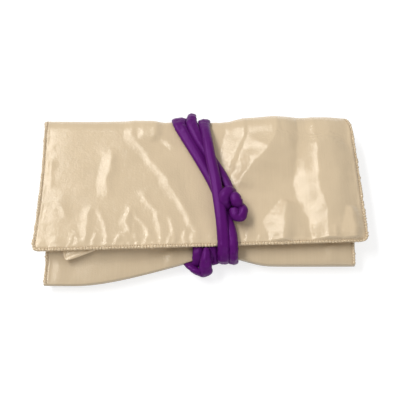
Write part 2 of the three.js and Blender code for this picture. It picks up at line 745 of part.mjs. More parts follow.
// Least distance between points of the tube that lie well apart along it.
function leastGap(rings) {
  const apart = Math.ceil(tieFarApart * tieFacets);
  let least = Infinity;
  for (let i = 0; i < rings.length; i++) {
    for (let j = i + apart; j < rings.length; j++) {
      for (const a of rings[i]) {
        for (const b of rings[j]) least = Math.min(least, a.distanceTo(b));
      }
    }
  }
  return least;
}
const tieRoutes = {
  tie_wrapped_cord: wrappedRoute, tie_knotted_cord: knottedRoute, tie_tucked_end: tuckedRoute,
};
for (const [name, route] of Object.entries(tieRoutes)) {
  const rings = tieRings(route);
  place(name, tubeFrom(rings), purpleSatin);
  console.log(`${name}: least gap to itself ${leastGap(rings).toFixed(2)} mm`);
}

// End knot: the lump of an overhand knot, lying on the flap beside the strands.
const knot = new THREE.SphereGeometry(1, 14, 10);
knot.scale(knotWidth / 2, knotLength / 2, knotHeight / 2);
knot.translate(...knotSpot, onTop + knotSeat);
place("tie_end_knot", knot, purpleSatin);

export default roll;
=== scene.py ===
"""A padded satin jewelry roll, folded shut in three and wound with a soft purple tie.

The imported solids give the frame. Each piece is modelled round them in metres, from shapes that are
worked out in millimetres. +X runs along the roll, +Y points to the top fold and +Z up.
"""
import math

import bmesh
import bpy
import numpy as np
from mathutils import Matrix, Vector


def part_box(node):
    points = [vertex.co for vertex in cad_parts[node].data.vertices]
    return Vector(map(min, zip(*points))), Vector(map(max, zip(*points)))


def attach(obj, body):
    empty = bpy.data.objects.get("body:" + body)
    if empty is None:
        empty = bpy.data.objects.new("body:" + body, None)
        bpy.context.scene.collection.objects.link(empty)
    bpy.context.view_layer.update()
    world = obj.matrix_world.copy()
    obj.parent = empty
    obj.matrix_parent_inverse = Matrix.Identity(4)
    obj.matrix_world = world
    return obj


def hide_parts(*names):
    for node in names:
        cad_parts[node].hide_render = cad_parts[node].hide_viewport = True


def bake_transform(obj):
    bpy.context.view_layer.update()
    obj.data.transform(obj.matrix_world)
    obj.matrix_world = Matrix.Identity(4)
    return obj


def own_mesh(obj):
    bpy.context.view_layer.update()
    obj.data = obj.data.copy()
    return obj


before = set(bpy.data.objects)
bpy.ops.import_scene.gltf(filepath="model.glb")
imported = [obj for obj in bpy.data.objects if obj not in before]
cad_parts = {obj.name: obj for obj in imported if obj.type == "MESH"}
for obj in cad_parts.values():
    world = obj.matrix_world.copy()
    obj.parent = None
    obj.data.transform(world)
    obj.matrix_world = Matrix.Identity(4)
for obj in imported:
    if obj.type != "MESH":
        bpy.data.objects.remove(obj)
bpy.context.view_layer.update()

bl_info = {
    "name": "Jewelry roll",
    "version": (1, 0, 0),
    "blender": (4, 5, 0),
    "location": "3D View > Sidebar > Jewelry roll",
    "description": "Models a padded satin jewelry roll with its tie, pockets, ring bar and zip",
    "category": "Object",
}

MM = 0.001


def extent(node):
    """Lowest and highest corner of a CAD node, in millimetres."""
    low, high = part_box(node)
    return low / MM, high / MM


FLAP_LOW, FLAP_HIGH = extent("flap_satin")
BACK_LOW, BACK_HIGH = extent("back_satin")
FRONT_LOW, FRONT_HIGH = extent("front_satin")
SLIP_HIGH = extent("flap_slip_pocket")[1]
BACK_TOP = extent("back_lining")[1].z
SLIP_GAP = 0.3
FLAP_FLOOR = SLIP_HIGH.z + SLIP_GAP
FOLD_LINE = FLAP_HIGH.y
FRONT_FREE = FRONT_HIGH.y
FRONT_TOP = FRONT_HIGH.z


# Sizes and colours that a user may change.
class RollSizes(bpy.types.PropertyGroup):
    """Sizes of the roll's cloth, padding and tie."""
    hem_width: bpy.props.FloatProperty(
        name="Hem width", description="Length of the flap's free edge", unit="LENGTH",
        default=(FLAP_HIGH.x - FLAP_LOW.x) * MM)
    fold_width: bpy.props.FloatProperty(
        name="Fold width", description="Length of the roll at its top fold", unit="LENGTH",
        default=(BACK_HIGH.x - BACK_LOW.x) * MM)
    front_width: bpy.props.FloatProperty(
        name="Front width", description="Length of the turned-up front", unit="LENGTH",
        default=(FRONT_HIGH.x - FRONT_LOW.x) * MM)
    flap_loft: bpy.props.FloatProperty(
        name="Flap loft", description="Extra batting in the flap's crown", unit="LENGTH",
        default=2.0 * MM)
    back_loft: bpy.props.FloatProperty(
        name="Back loft", description="Extra batting in the back", unit="LENGTH", default=6 * MM)
    tie_width: bpy.props.FloatProperty(
        name="Tie width", description="Width of the satin tube of the tie", unit="LENGTH",
        default=7.2 * MM)
    stitch_length: bpy.props.FloatProperty(
        name="Stitch length", description="Length of one topstitch", unit="LENGTH", default=1.05 * MM)
    stitch_gap: bpy.props.FloatProperty(
        name="Stitch gap", description="Cloth between two stitches", unit="LENGTH", default=0.55 * MM)
    stitch_inset: bpy.props.FloatProperty(
        name="Stitch inset", description="Distance of the topstitching from the edge", unit="LENGTH",
        default=1.9 * MM)


class RollColours(bpy.types.PropertyGroup):
    """Colours of the roll's cloths and metal."""
    satin: bpy.props.FloatVectorProperty(
        name="Satin", description="Champagne satin of the outside", subtype="COLOR", size=3,
        min=0, max=1, default=(0.735, 0.583, 0.392))
    lining: bpy.props.FloatVectorProperty(
        name="Lining", description="Satin of the lining and the pockets", subtype="COLOR", size=3,
        min=0, max=1, default=(0.76, 0.63, 0.45))
    tie: bpy.props.FloatVectorProperty(
        name="Tie", description="Purple satin of the tie", subtype="COLOR", size=3,
        min=0, max=1, default=(0.1, 0.007, 0.14))
    thread: bpy.props.FloatVectorProperty(
        name="Thread", description="Topstitching thread", subtype="COLOR", size=3,
        min=0, max=1, default=(0.6, 0.46, 0.3))
    tape: bpy.props.FloatVectorProperty(
        name="Zip tape", description="Woven tape of the zip", subtype="COLOR", size=3,
        min=0, max=1, default=(0.58, 0.47, 0.31))
    nylon: bpy.props.FloatVectorProperty(
        name="Zip teeth", description="Moulded nylon of the zip's teeth", subtype="COLOR", size=3,
        min=0, max=1, default=(0.66, 0.55, 0.38))
    brass: bpy.props.FloatVectorProperty(
        name="Brass", description="Brass of the slider, pull, stops and snap", subtype="COLOR", size=3,
        min=0, max=1, default=(0.78, 0.6, 0.3))


# Curves that the shapes are built from.
def clamp(value):
    return np.clip(value, 0.0, 1.0)


def mix(a, b, share):
    return a + (b - a) * share


def ease(value):
    t = clamp(value)
    return t * t * (3 - 2 * t)


def hump(distance, width):
    return np.exp(-np.square(distance / width))


def ridge(distance, place, height, width):
    """A rounded ridge at a place beside an edge, or a groove where its height is below 0."""
    return height * hump(distance - place, width)


def edge_round(distance, radius):
    """1 at an edge, falling round to 0 at the radius."""
    turn = clamp(1 - distance / radius)
    return 1 - np.sqrt(1 - turn * turn)


def swelling(distance, run):
    """Round rise of full cloth from its seam: 0 at the seam and 1 past the run."""
    return np.sqrt(1 - np.square(1 - clamp(distance / run)))


WAVE_COUNT = 7
WAVE_CREST = 4


def waves(x, y, size, height, seed):
    """Smooth, repeatable unevenness of about that height, with features of about that size."""
    chance = np.random.default_rng(seed)
    total = np.zeros(np.shape(x))
    for _ in range(WAVE_COUNT):
        turn = chance.uniform(0, 2 * math.pi)
        length = size * chance.uniform(0.7, 1.6)
        start = chance.uniform(0, 2 * math.pi)
        total = total + np.sin((x * math.cos(turn) + y * math.sin(turn)) * 2 * math.pi / length + start)
    return height * total / WAVE_CREST


def graded(length, fine, coarse, border, both=True):
    """Positions from 0 to length, close together near the start, and near the end too if both."""
    near = np.arange(0, border, fine)
    far = length - near[::-1] if both else np.array([length])
    count = max(2, int(round((far[0] - border) / coarse)))
    middle = np.linspace(border, far[0], count, endpoint=False)
    return np.concatenate([near, middle, far])


def run_along(line):
    """Distance along a line at each of its points."""
    return np.concatenate([[0], np.cumsum(np.linalg.norm(np.diff(line, axis=0), axis=1))])


def directions(line):
    """Unit tangents of a line at its points."""
    ahead = np.gradient(line, axis=0)
    return ahead / np.linalg.norm(ahead, axis=1)[:, None]


def smooth_line(points, count):
    """Points at even shares of a smooth curve through the given ones."""
    spots = np.array(points, float)
    steps = np.linalg.norm(np.diff(spots, axis=0), axis=1) ** 0.5
    knots = np.concatenate([[0], np.cumsum(steps)])
    first = 2 * spots[0] - spots[1]
    last = 2 * spots[-1] - spots[-2]
    spots = np.vstack([first, spots, last])
    knots = np.concatenate([[-steps[0]], knots, [knots[-1] + steps[-1]]])
    found = []
    for t in np.linspace(0, knots[-2], max(8 * len(points), 4 * count)):
        i = int(np.clip(np.searchsorted(knots, t, side="right") - 1, 1, len(spots) - 3))
        k0, k1, k2, k3 = knots[i - 1:i + 3]
        p0, p1, p2, p3 = spots[i - 1:i + 3]
        a1 = mix(p0, p1, (t - k0) / (k1 - k0))
        a2 = mix(p1, p2, (t - k1) / (k2 - k1))
        a3 = mix(p2, p3, (t - k2) / (k3 - k2))
        b1 = mix(a1, a2, (t - k0) / (k2 - k0))
        b2 = mix(a2, a3, (t - k1) / (k3 - k1))
        found.append(mix(b1, b2, (t - k1) / (k2 - k1)))
    found = np.array(found)
    along = run_along(found)
    even = np.linspace(0, along[-1], count)
    return np.stack([np.interp(even, along, found[:, k]) for k in range(found.shape[1])], axis=1)


# Shape of the closed roll.
class Roll:
    """Outlines and levels of the closed roll, in millimetres."""
    # waist that the tie draws in, which leans across the roll
    tie_at_fold = -6.5
    tie_slant = 0.22
    waist_run = 24.0
    fold_waist = 20.0
    back_waist = 26.0
    front_waist = 17.0
    shelf_run = 36.0
    # flap
    hem_left = 43.8
    hem_right = 36.5
    hem_pull = 0.3
    hem_stack = 1.5
    hem_band = 8.0
    border_rise = 0.25
    corner = 5.0
    right_taper = 2.5
    left_draw = 0.4
    left_bow = 1.3
    left_shoulder = 9.0
    right_shoulder = 20.0
    left_swell = 0.1
    flare_start = 9.0
    flare_run = 86.0
    flare_power = 0.9
    crown_run = 85.0
    crown_rest = 0.45
    droop = 0.5
    droop_run = 20.0
    fold_lift = 0.3
    lift_start = -10.0
    lift_run = 50.0
    # top fold
    seat = 0.3
    fold_taper = 0.045
    fold_swell = 0.014
    top_reach = 16.3
    top_reach_waist = 13.2
    top_tilt = 0.013
    fold_slack = 4.0
    waist_slack = 2.0
    # bottom fold and front
    bottom_left = 64.5
    bottom_right = 50.2
    bottom_waist = 46.0
    bottom_dent = 2.6
    dent_at = 11.0
    dent_run = 20.0
    notch = 18.0
    notch_left_run = 104.0
    notch_right_run = 30.0
    nose = 13.0
    nose_waist = 8.0
    hinge_y = -52.0
    hinge_slant = 0.06
    shelf = 3.6
    level_run = 17.0
    sink_left = 5.2
    sink_right = 3.2
    sink_start = -40.0
    sink_run = 100.0
    least_gap = 0.4
    least_stack = 2.4
    # belly of the back
    valley = 5.4
    side_power = 8
    front_share = 0.6
    front_run = 22
    rear_share = 0.86
    rear_run = 16

    def __init__(self):
        sizes = bpy.context.scene.roll_sizes
        self.hem_width = sizes.hem_width / MM
        self.fold_width = sizes.fold_width / MM
        self.front_width = sizes.front_width / MM
        self.flap_loft = sizes.flap_loft / MM
        self.back_loft = sizes.back_loft / MM

    def tie_middle(self, y):
        return self.tie_at_fold + self.tie_slant * (FOLD_LINE - y)

    def waist(self, x, y, half, run=waist_run):
        """1 where the tie draws the roll in, 0 away from it."""
        return 1 - ease((np.abs(x - self.tie_middle(y)) - half) / run)

    def fold_drawn(self, x):
        """The same along the top fold."""
        return self.waist(x, FOLD_LINE, self.fold_waist)

    def flare(self, x, y):
        """Rise of the flap's padding from the tie, where it is 0, towards the ends."""
        middle = self.tie_middle(y)
        swell = np.where(x < middle, self.left_swell, 1.0)
        return swell * clamp((np.abs(x - middle) - self.flare_start) / self.flare_run) ** self.flare_power

    def drooping(self, x):
        return ease((np.abs(x) - self.hem_width / 2 + self.droop_run) / self.droop_run)

    def hem_line(self, x):
        straight = mix(self.hem_left, self.hem_right, x / self.hem_width + 0.5)
        return self.hem_pull * self.drooping(x) - straight

    def bottom_ease(self, x):
        run = np.where(x < self.notch, self.notch_left_run, self.notch_right_run)
        return ease(np.abs(x - self.notch) / run)

    def nose_depth(self, x):
        return mix(self.nose_waist, self.nose, self.bottom_ease(x))

    def bottom_line(self, x):
        end = np.where(x < self.notch, self.bottom_left, self.bottom_right)
        dent = self.bottom_dent * hump(x - self.dent_at, self.dent_run)
        return self.nose_depth(x) + dent - mix(self.bottom_waist, end, self.bottom_ease(x))

    def flap_half(self, x, y):
        into = y - self.hem_line(np.sign(x) * self.hem_width / 2)
        fold_width = self.fold_width - np.where(x > 0, 2 * self.right_taper, 0)
        share = clamp(into / (into + FOLD_LINE - y))
        bow = np.where(x < 0, self.left_draw + 4 * self.left_bow * share * (1 - share), 0)
        half = mix(self.hem_width, fold_width, share) / 2 - bow
        turn = clamp(1 - into / self.corner)
        return half - self.corner * (1 - np.sqrt(1 - turn * turn))

    def back_half(self, y):
        front = self.bottom_left - self.nose
        return mix(self.front_width, self.fold_width, clamp((y + front) / (FOLD_LINE + front))) / 2

    def flap_floor(self, x, y):
        spread = 1 - self.fold_lift * ease((y - self.lift_start) / self.lift_run)
        return FLAP_FLOOR - self.droop * self.drooping(x) * spread

    def flap_top(self, x, y):
        into = y - self.hem_line(x)
        side = self.flap_half(x, y) - np.abs(x)
        border = ease(np.minimum(side, into) / self.hem_band)
        shoulder = np.where(x < 0, self.left_shoulder, self.right_shoulder)
        crown = mix(1, self.crown_rest, np.square(1 - clamp(into / self.crown_run)))
        loft = self.flap_loft * (ease(side / shoulder) * crown) * self.flare(x, y)
        return self.flap_floor(x, y) + self.hem_stack + border * (self.border_rise + loft)

    def fold_reach(self, x):
        return mix(self.top_reach + self.top_tilt * x, self.top_reach_waist, self.fold_drawn(x)) - self.seat

    def back_under(self, x, y):
        side = 1 - np.minimum(1, np.abs(x) / self.back_half(y)) ** self.side_power
        front = mix(self.front_share, 1, ease((y - self.bottom_line(x)) / self.front_run))
        rear = mix(self.rear_share, 1, ease((FOLD_LINE - y) / self.rear_run))
        loft = self.back_loft * (side * front * rear) * (1 - self.waist(x, y, self.back_waist))
        return np.maximum(0, self.valley - loft)

    def front_hinge(self, x):
        """The line about which the front folds open."""
        return self.hinge_y + self.hinge_slant * x

    def front_level(self, x, y):
        drawn = self.waist(x, y, self.front_waist, self.shelf_run)
        level = ease((y - self.bottom_line(x) - self.shelf * drawn) / self.level_run)
        sink = mix(self.sink_left, self.sink_right, ease((x - self.sink_start) / self.sink_run))
        sunk = FRONT_TOP - self.droop * self.drooping(x) - sink * (1 - level)
        return np.maximum(sunk, BACK_TOP + self.least_gap + self.least_stack)


# Creases that the photograph shows. Each crest is a line on the cloth in millimetres, with the width of its
# lit left slope (one, or several along the line), the width of its right slope, the left slope's lean at the
# crest in degrees, and the share of its length over which each end fades.
FLAP_CREASES = [
    # long diagonal fold, from the top fold to the hem
    ([(-58, 58), (-50, 45), (-42, 35), (-35.5, 27.3), (-24.5, 9.6), (-16.5, -5.8), (-8, -18), (-3, -27),
      (-2, -42)], 5.2, 9, 19, 0.07),
    # curved fold that runs into the tie, broad at its start
    ([(-44, 60), (-38, 50), (-30, 41)], (8, 11, 5), 9, 18, 0.2),
    ([(-34, 48), (-26, 41.5), (-18, 37), (-8, 33)], 3.6, 5, 26, 0.15),
    # upright fold on the left
    ([(-65, 40), (-64.5, 14), (-64, -5)], 8, 4, 11, 0.3),
    # puckers that stand up from the hem, left to right
    ([(-88, -29), (-90, -43)], 2.4, 2, 12, 0.25),
    ([(-87, -29), (-83, -43)], 2, 2, 13, 0.25),
    ([(-75.6, -8), (-79, -24), (-77.5, -43)], 5, 3.5, 12, 0.2),
    ([(-75, -9), (-68, -18), (-64.5, -29), (-65.5, -43)], 2.6, 2.6, 14, 0.2),
    ([(-71, -28), (-73, -43)], 2, 2, 13, 0.25),
    ([(-53, -30), (-59.5, -43)], 2.3, 2, 14, 0.2),
    ([(-52.5, -30), (-48.4, -43)], 2.2, 2, 15, 0.2),
    ([(-48.8, -8), (-50.5, -24), (-46, -34)], 5, 3.5, 14, 0.2),
    ([(-48, -8), (-43, -18.2), (-36, -30), (-29.5, -43)], 2.4, 3, 16, 0.15),
    ([(-45.8, -22), (-42.4, -43)], 2.2, 2.2, 14, 0.2),
    ([(-43, 3), (-36, -6), (-30, -13), (-28, -25), (-25.2, -43)], 3.4, 3.6, 16, 0.15),
    ([(-36, -26), (-38, -43)], 2, 2, 14, 0.25),
    ([(-30, -12), (-21, -21.4), (-16.6, -43)], 2.8, 3.5, 17, 0.2),
    ([(-21, -30), (-22, -43)], 2, 2, 15, 0.3),
    ([(-10, -26), (-11, -43)], 2.4, 2.4, 16, 0.3),
    ([(-5.5, -28), (-6, -43)], 2, 2.4, 17, 0.3),
    # fullness just inside the left edge
    ([(-106, 34), (-106, 15), (-107, -2)], 3, 4, 11, 0.3),
    ([(-101, -6), (-95, -12), (-92, -22)], 3.4, 4, 11, 0.3),
    # broad folds to the right of the tie, and puckers at the hem below them
    ([(56, 58), (54, 43), (47, 31), (37, 20), (29, 10), (25, 1)], (8, 16, 18, 15, 10, 4), 22, 24, 0.12),
    ([(36, 57), (30, 43), (23, 29), (19, 18)], (6, 11, 9, 4), 40, 19, 0.15),
    ([(84, 58), (83, 21), (82.5, 2), (87, -18), (87.5, -43), (87.5, -58)], (8, 15, 17, 15, 9, 5),
     26, 22.5, 0.18),
    ([(79.5, -24), (79, -43)], 3.5, 3, 20, 0.2),
    ([(92, -26), (92.5, -43)], 3.2, 3, 22, 0.2),
    ([(60, -4), (56.5, -24), (52.5, -43)], (5, 12, 5), 11, 21.5, 0.12),
    ([(49, -28), (47, -43)], 3.4, 3, 19, 0.2),
    ([(104, -10), (104, -25), (104.5, -43)], (4, 8, 4), 7, 25, 0.12),
    ([(33, -26), (30, -43)], 2.4, 3, 18, 0.2),
    ([(42, -30), (39, -43)], 2.4, 3, 18, 0.25),
]
FRONT_CREASES = [
    ([(-98, -40), (-97, -52), (-99, -64)], 4, 4, 7, 0.2),
    ([(-76, -50), (-72, -64)], 5, 4, 8, 0.25),
    ([(-20, -38), (-21, -54)], 5, 3, 13, 0.2),
    ([(88, -34), (90, -50)], 5, 4, 16, 0.25),
]
SHARP_CREST = 1.6
BROAD_CREST = 1.12
BROAD = 6
CREASE_POINTS = 60
LEAST_END = 3
END_SHARE = 0.6


def crease_height(x, y, crease):
    """Height that one crease adds at each point."""
    points, lefts, right, lean, fade = crease
    widths = np.atleast_1d(lefts)
    power = BROAD_CREST if widths.max() > BROAD else SHARP_CREST
    line = smooth_line(points, CREASE_POINTS)
    spots = np.stack([x, y], axis=-1).reshape(-1, 2)
    away = spots[:, None, :] - line[None, :, :]
    nearest = np.argmin(np.square(away).sum(-1), axis=1)
    away = away[np.arange(len(spots)), nearest]
    tangent = directions(line)[nearest]
    aside = tangent[:, 0] * away[:, 1] - tangent[:, 1] * away[:, 0]
    beyond = tangent[:, 0] * away[:, 0] + tangent[:, 1] * away[:, 1]
    reach = np.hypot(aside, beyond)
    share = nearest / (CREASE_POINTS - 1)
    left = np.interp(share, np.linspace(0, 1, len(widths)), widths)
    height = math.tan(math.radians(lean)) * left / power
    ramp = clamp(1 - np.abs(aside) / left) ** power
    slope = np.where(aside < 0, ramp, hump(aside * widths.max(), right * left))
    ends = hump(np.maximum(0, reach - np.abs(aside)), np.maximum(LEAST_END, END_SHARE * left))
    window = ease(share / fade) * ease((1 - share) / fade)
    return (height * slope * window * ends).reshape(np.shape(x))


# Meshes.
def new_object(name, data):
    piece = bpy.data.objects.new(name, data)
    bpy.context.scene.collection.objects.link(piece)
    return piece


def mesh_from(work, name, materials):
    """The mesh of a finished bmesh, with its materials."""
    data = bpy.data.meshes.new(name)
    work.to_mesh(data)
    work.free()
    for material in materials:
        data.materials.append(material)
    return data


def grid_piece(name, across, along, outer, inner, materials):
    """A closed sheet: a grid for its outer face, a copy for its inner face, and a bridge round the edge.

    outer and inner take the two grid coordinates and give x, y and z in millimetres.
    """
    work = bmesh.new()
    columns, rows = len(across), len(along)
    bmesh.ops.create_grid(work, x_segments=columns - 1, y_segments=rows - 1, size=0.5)
    border = [edge for edge in work.edges if edge.is_boundary]
    copied = bmesh.ops.duplicate(work, geom=work.verts[:] + work.edges[:] + work.faces[:])["geom"]
    lower = [item for item in copied if isinstance(item, bmesh.types.BMVert)]
    faces = [item for item in copied if isinstance(item, bmesh.types.BMFace)]
    bmesh.ops.translate(work, verts=lower, vec=(0, 0, -1))
    bmesh.ops.reverse_faces(work, faces=faces)
    under = [item for item in copied if isinstance(item, bmesh.types.BMEdge) and item.is_boundary]
    bmesh.ops.bridge_loops(work, edges=border + under)
    flat = work.loops.layers.uv.new("cloth")
    for face in work.faces:
        heights = {round(vert.co.z) for vert in face.verts}
        face.material_index = 1 if heights == {-1} else 0
        face.smooth = True
        for loop in face.loops:
            spot = loop.vert.co
            column = int(round((spot.x + 0.5) * (columns - 1)))
            row = int(round((spot.y + 0.5) * (rows - 1)))
            loop[flat].uv = (across[column] * MM, along[row] * MM)
    data = mesh_from(work, name, materials)
    spots = np.empty(len(data.vertices) * 3)
    data.vertices.foreach_get("co", spots)
    spots = spots.reshape(-1, 3)
    u = across[np.rint((spots[:, 0] + 0.5) * (columns - 1)).astype(int)]
    v = along[np.rint((spots[:, 1] + 0.5) * (rows - 1)).astype(int)]
    for side, face in ((spots[:, 2] > -0.5, outer), (spots[:, 2] < -0.5, inner)):
        spots[side] = np.stack(face(u[side], v[side]), axis=1) * MM
    data.vertices.foreach_set("co", spots.ravel())
    data.update()
    return new_object(name, data)


def soft_tube(name, line, side, sides, girth, section, material):
    """A closed tube of quads along a line, whose first ring starts at the given side.

    section takes a ring's number, its tangent and its up, and gives a function of the angle and the
    direction that says how far the ring reaches from the line.
    """
    along = run_along(line)
    tangents = directions(line)
    work = bmesh.new()
    flat = work.loops.layers.uv.new("cloth")
    rings = []
    for i, middle in enumerate(line):
        ahead = Vector(tangents[i])
        side = (side - ahead * side.dot(ahead)).normalized()
        up = ahead.cross(side)
        reach = section(i, ahead, up)
        ring = []
        for k in range(sides):
            turn = 2 * math.pi * k / sides
            way = side * math.cos(turn) + up * math.sin(turn)
            ring.append(work.verts.new((Vector(middle) + way * reach(turn, way)) * MM))
        rings.append(ring)
    for i in range(len(rings) - 1):
        for k in range(sides):
            n = (k + 1) % sides
            face = work.faces.new((rings[i][k], rings[i][n], rings[i + 1][n], rings[i + 1][k]))
            face.smooth = True
            for loop, (row, column) in zip(face.loops, ((i, k), (i, k + 1), (i + 1, k + 1), (i + 1, k))):
                loop[flat].uv = (column * girth * MM / sides, along[row] * MM)
    for ring in (rings[0], rings[-1]):
        work.faces.new(ring).smooth = True
    bmesh.ops.recalc_face_normals(work, faces=work.faces)
    return new_object(name, mesh_from(work, name, [material]))


def flat_strip(name, low, high, material, crown=0.12):
    """A small turned strip of cloth between two corners."""
    across = graded(high.x - low.x, fine=0.2, coarse=0.8, border=1.2) + low.x
    along = graded(high.y - low.y, fine=0.2, coarse=0.8, border=1.2) + low.y

    def edge(u, v):
        return np.minimum(np.minimum(u - low.x, high.x - u), np.minimum(v - low.y, high.y - v))

    def outer(u, v):
        turned = ridge(edge(u, v), place=0.7, height=crown, width=0.6)
        return u, v, high.z + turned - 0.2 * edge_round(edge(u, v), 0.5)

    def inner(u, v):
        return u, v, low.z + 0.15 * edge_round(edge(u, v), 0.5)

    return grid_piece(name, across, along, outer, inner, [material, material])


def patch_faces(rise, wall, fall, radius, least):
    """Faces of cloth on the back lining; rise gives the distance from its edge and its height."""
    def outer(u, v):
        edge, up = rise(u, v)
        return u, v, BACK_TOP + up - fall * edge_round(edge, radius)

    def inner(u, v):
        _, up = rise(u, v)
        return u, v, BACK_TOP + np.maximum(least, up - wall)

    return outer, inner


def beads(name, routes, size, pitch, lift, skew, uneven, material):
    """Copies of one small rounded shape along each route; size is half its width, height and length."""
    chance = np.random.default_rng(17)
    work = bmesh.new()
    bmesh.ops.create_uvsphere(work, u_segments=6, v_segments=5, radius=1)
    bead = mesh_from(work, name, [])
    work = bmesh.new()
    for route in routes:
        along = run_along(route)
        for start in np.arange(pitch / 2, along[-1] - pitch / 2, pitch):
            tail, tip = (Vector([np.interp(at, along, route[:, k]) for k in range(3)])
                         for at in (start, start + 2 * size[2]))
            ahead = (tip - tail).normalized()
            up = (Vector((0, 0, 1)) - ahead * ahead.z).normalized()
            grown = Vector(size * chance.uniform(1 - uneven, 1 + uneven, 3)) * MM
            place = Matrix.Translation(((tail + tip) / 2 + up * lift) * MM)
            place = place @ Matrix((up.cross(ahead), up, ahead)).transposed().to_4x4()
            place = place @ Matrix.Diagonal((*grown, 1)) @ Matrix.Rotation(skew, 4, "Y")
            copied = bead.copy()
            copied.transform(place)
            work.from_mesh(copied)
            bpy.data.meshes.remove(copied)
    bpy.data.meshes.remove(bead)
    data = mesh_from(work, name, [material])
    data.shade_smooth()
    return new_object(name, data)


def three_sides(outer, left, right, far, near, side_points, near_points):
    """Points on an outer face: down the left side, along the near edge and up the right side."""
    side = np.linspace(far, near, side_points)
    edge = np.linspace(left, right, near_points)[1:-1]
    u = np.concatenate([np.full(side_points, left), edge, np.full(side_points, right)])
    v = np.concatenate([side, np.full(len(edge), near), side[::-1]])
    return np.stack(outer(u, v), axis=1)


def stitch_rows(name, routes, lift):
    """Separate stitches along each route: short threads that dip into the cloth at their ends."""
    sizes = bpy.context.scene.roll_sizes
    half = sizes.stitch_length / MM / 2
    pitch = (sizes.stitch_length + sizes.stitch_gap) / MM
    return beads(name, routes, size=(0.42, 0.36, half), pitch=pitch, lift=lift + 0.05, skew=0, uneven=0.1,
                 material=thread_material())


def hem_gathers(name, routes):
    """Small gathers that the topstitching draws up along a turned edge, like the lay of a rope."""
    sizes = bpy.context.scene.roll_sizes
    pitch = 1.35 * (sizes.stitch_length + sizes.stitch_gap) / MM
    return beads(name, routes, size=(1.15, 0.9, 0.6 * pitch), pitch=pitch, lift=-0.25, skew=0.45, uneven=0.35,
                 material=outer_satin())


# Materials.
class Nodes:
    """Short hand for the nodes of one material."""

    def __init__(self, material):
        material.use_nodes = True
        self.tree = material.node_tree
        self.shader = next(node for node in self.tree.nodes if node.type == "BSDF_PRINCIPLED")

    def add(self, kind, **values):
        node = self.tree.nodes.new(kind)
        for key, value in values.items():
            if key in node.inputs:
                node.inputs[key].default_value = value
            else:
                setattr(node, key, value)
        return node

    def link(self, output, target):
        self.tree.links.new(output, target)

    def place(self):
        return self.add("ShaderNodeTexCoord").outputs["Object"]

    def cloth(self):
        return self.add("ShaderNodeUVMap", uv_map="cloth").outputs["UV"]

    def noise(self, vector, **values):
        node = self.add("ShaderNodeTexNoise", **values)
        self.link(vector, node.inputs["Vector"])
        return node.outputs["Fac"]

    def wave(self, vector, direction, **values):
        node = self.add("ShaderNodeTexWave", bands_direction=direction, **values)
        self.link(vector, node.inputs["Vector"])
        return node.outputs["Fac"]

    def ramp(self, factor, first, last):
        """Colours that run from one stop to another, each a place and a colour."""
        node = self.add("ShaderNodeValToRGB")
        for stop, (place, colour) in zip(node.color_ramp.elements, (first, last)):
            stop.position = place
            stop.color = (*colour, 1)
        self.link(factor, node.inputs["Fac"])
        return node.outputs["Color"]

    def spread(self, value, low, high, start=0.0, end=1.0):
        """A value between start and end, mapped to low and high."""
        node = self.add("ShaderNodeMapRange")
        for key, limit in {"From Min": start, "From Max": end, "To Min": low, "To Max": high}.items():
            node.inputs[key].default_value = limit
        self.link(value, node.inputs["Value"])
        return node.outputs["Result"]

    def bump(self, height, strength, distance, under=None):
        node = self.add("ShaderNodeBump", Strength=strength, Distance=distance)
        self.link(height, node.inputs["Height"])
        if under is not None:
            self.link(under, node.inputs["Normal"])
        return node.outputs["Normal"]

    def dress(self, sockets):
        """Set the shader's sockets, each to a constant or to another node's output."""
        for key, value in sockets.items():
            if isinstance(value, bpy.types.NodeSocket):
                self.link(value, self.shader.inputs[key])
            else:
                self.shader.inputs[key].default_value = value


def material_named(name, dress, **values):
    """The material of that name, which is dressed when it is first asked for."""
    found = bpy.data.materials.get(name)
    if found is None:
        found = bpy.data.materials.new(name)
        dress(Nodes(found), **values)
    return found


def shade(colour, factor):
    return tuple(min(1.0, channel * factor) for channel in colour)


# Width of a satin float in metres, and the tints of the satins' gloss.
SATIN_FLOAT = 0.0004
CHAMPAGNE_GLOSS = (1.0, 0.96, 0.88, 1)
PURPLE_GLOSS = (0.75, 0.3, 1.0, 1)


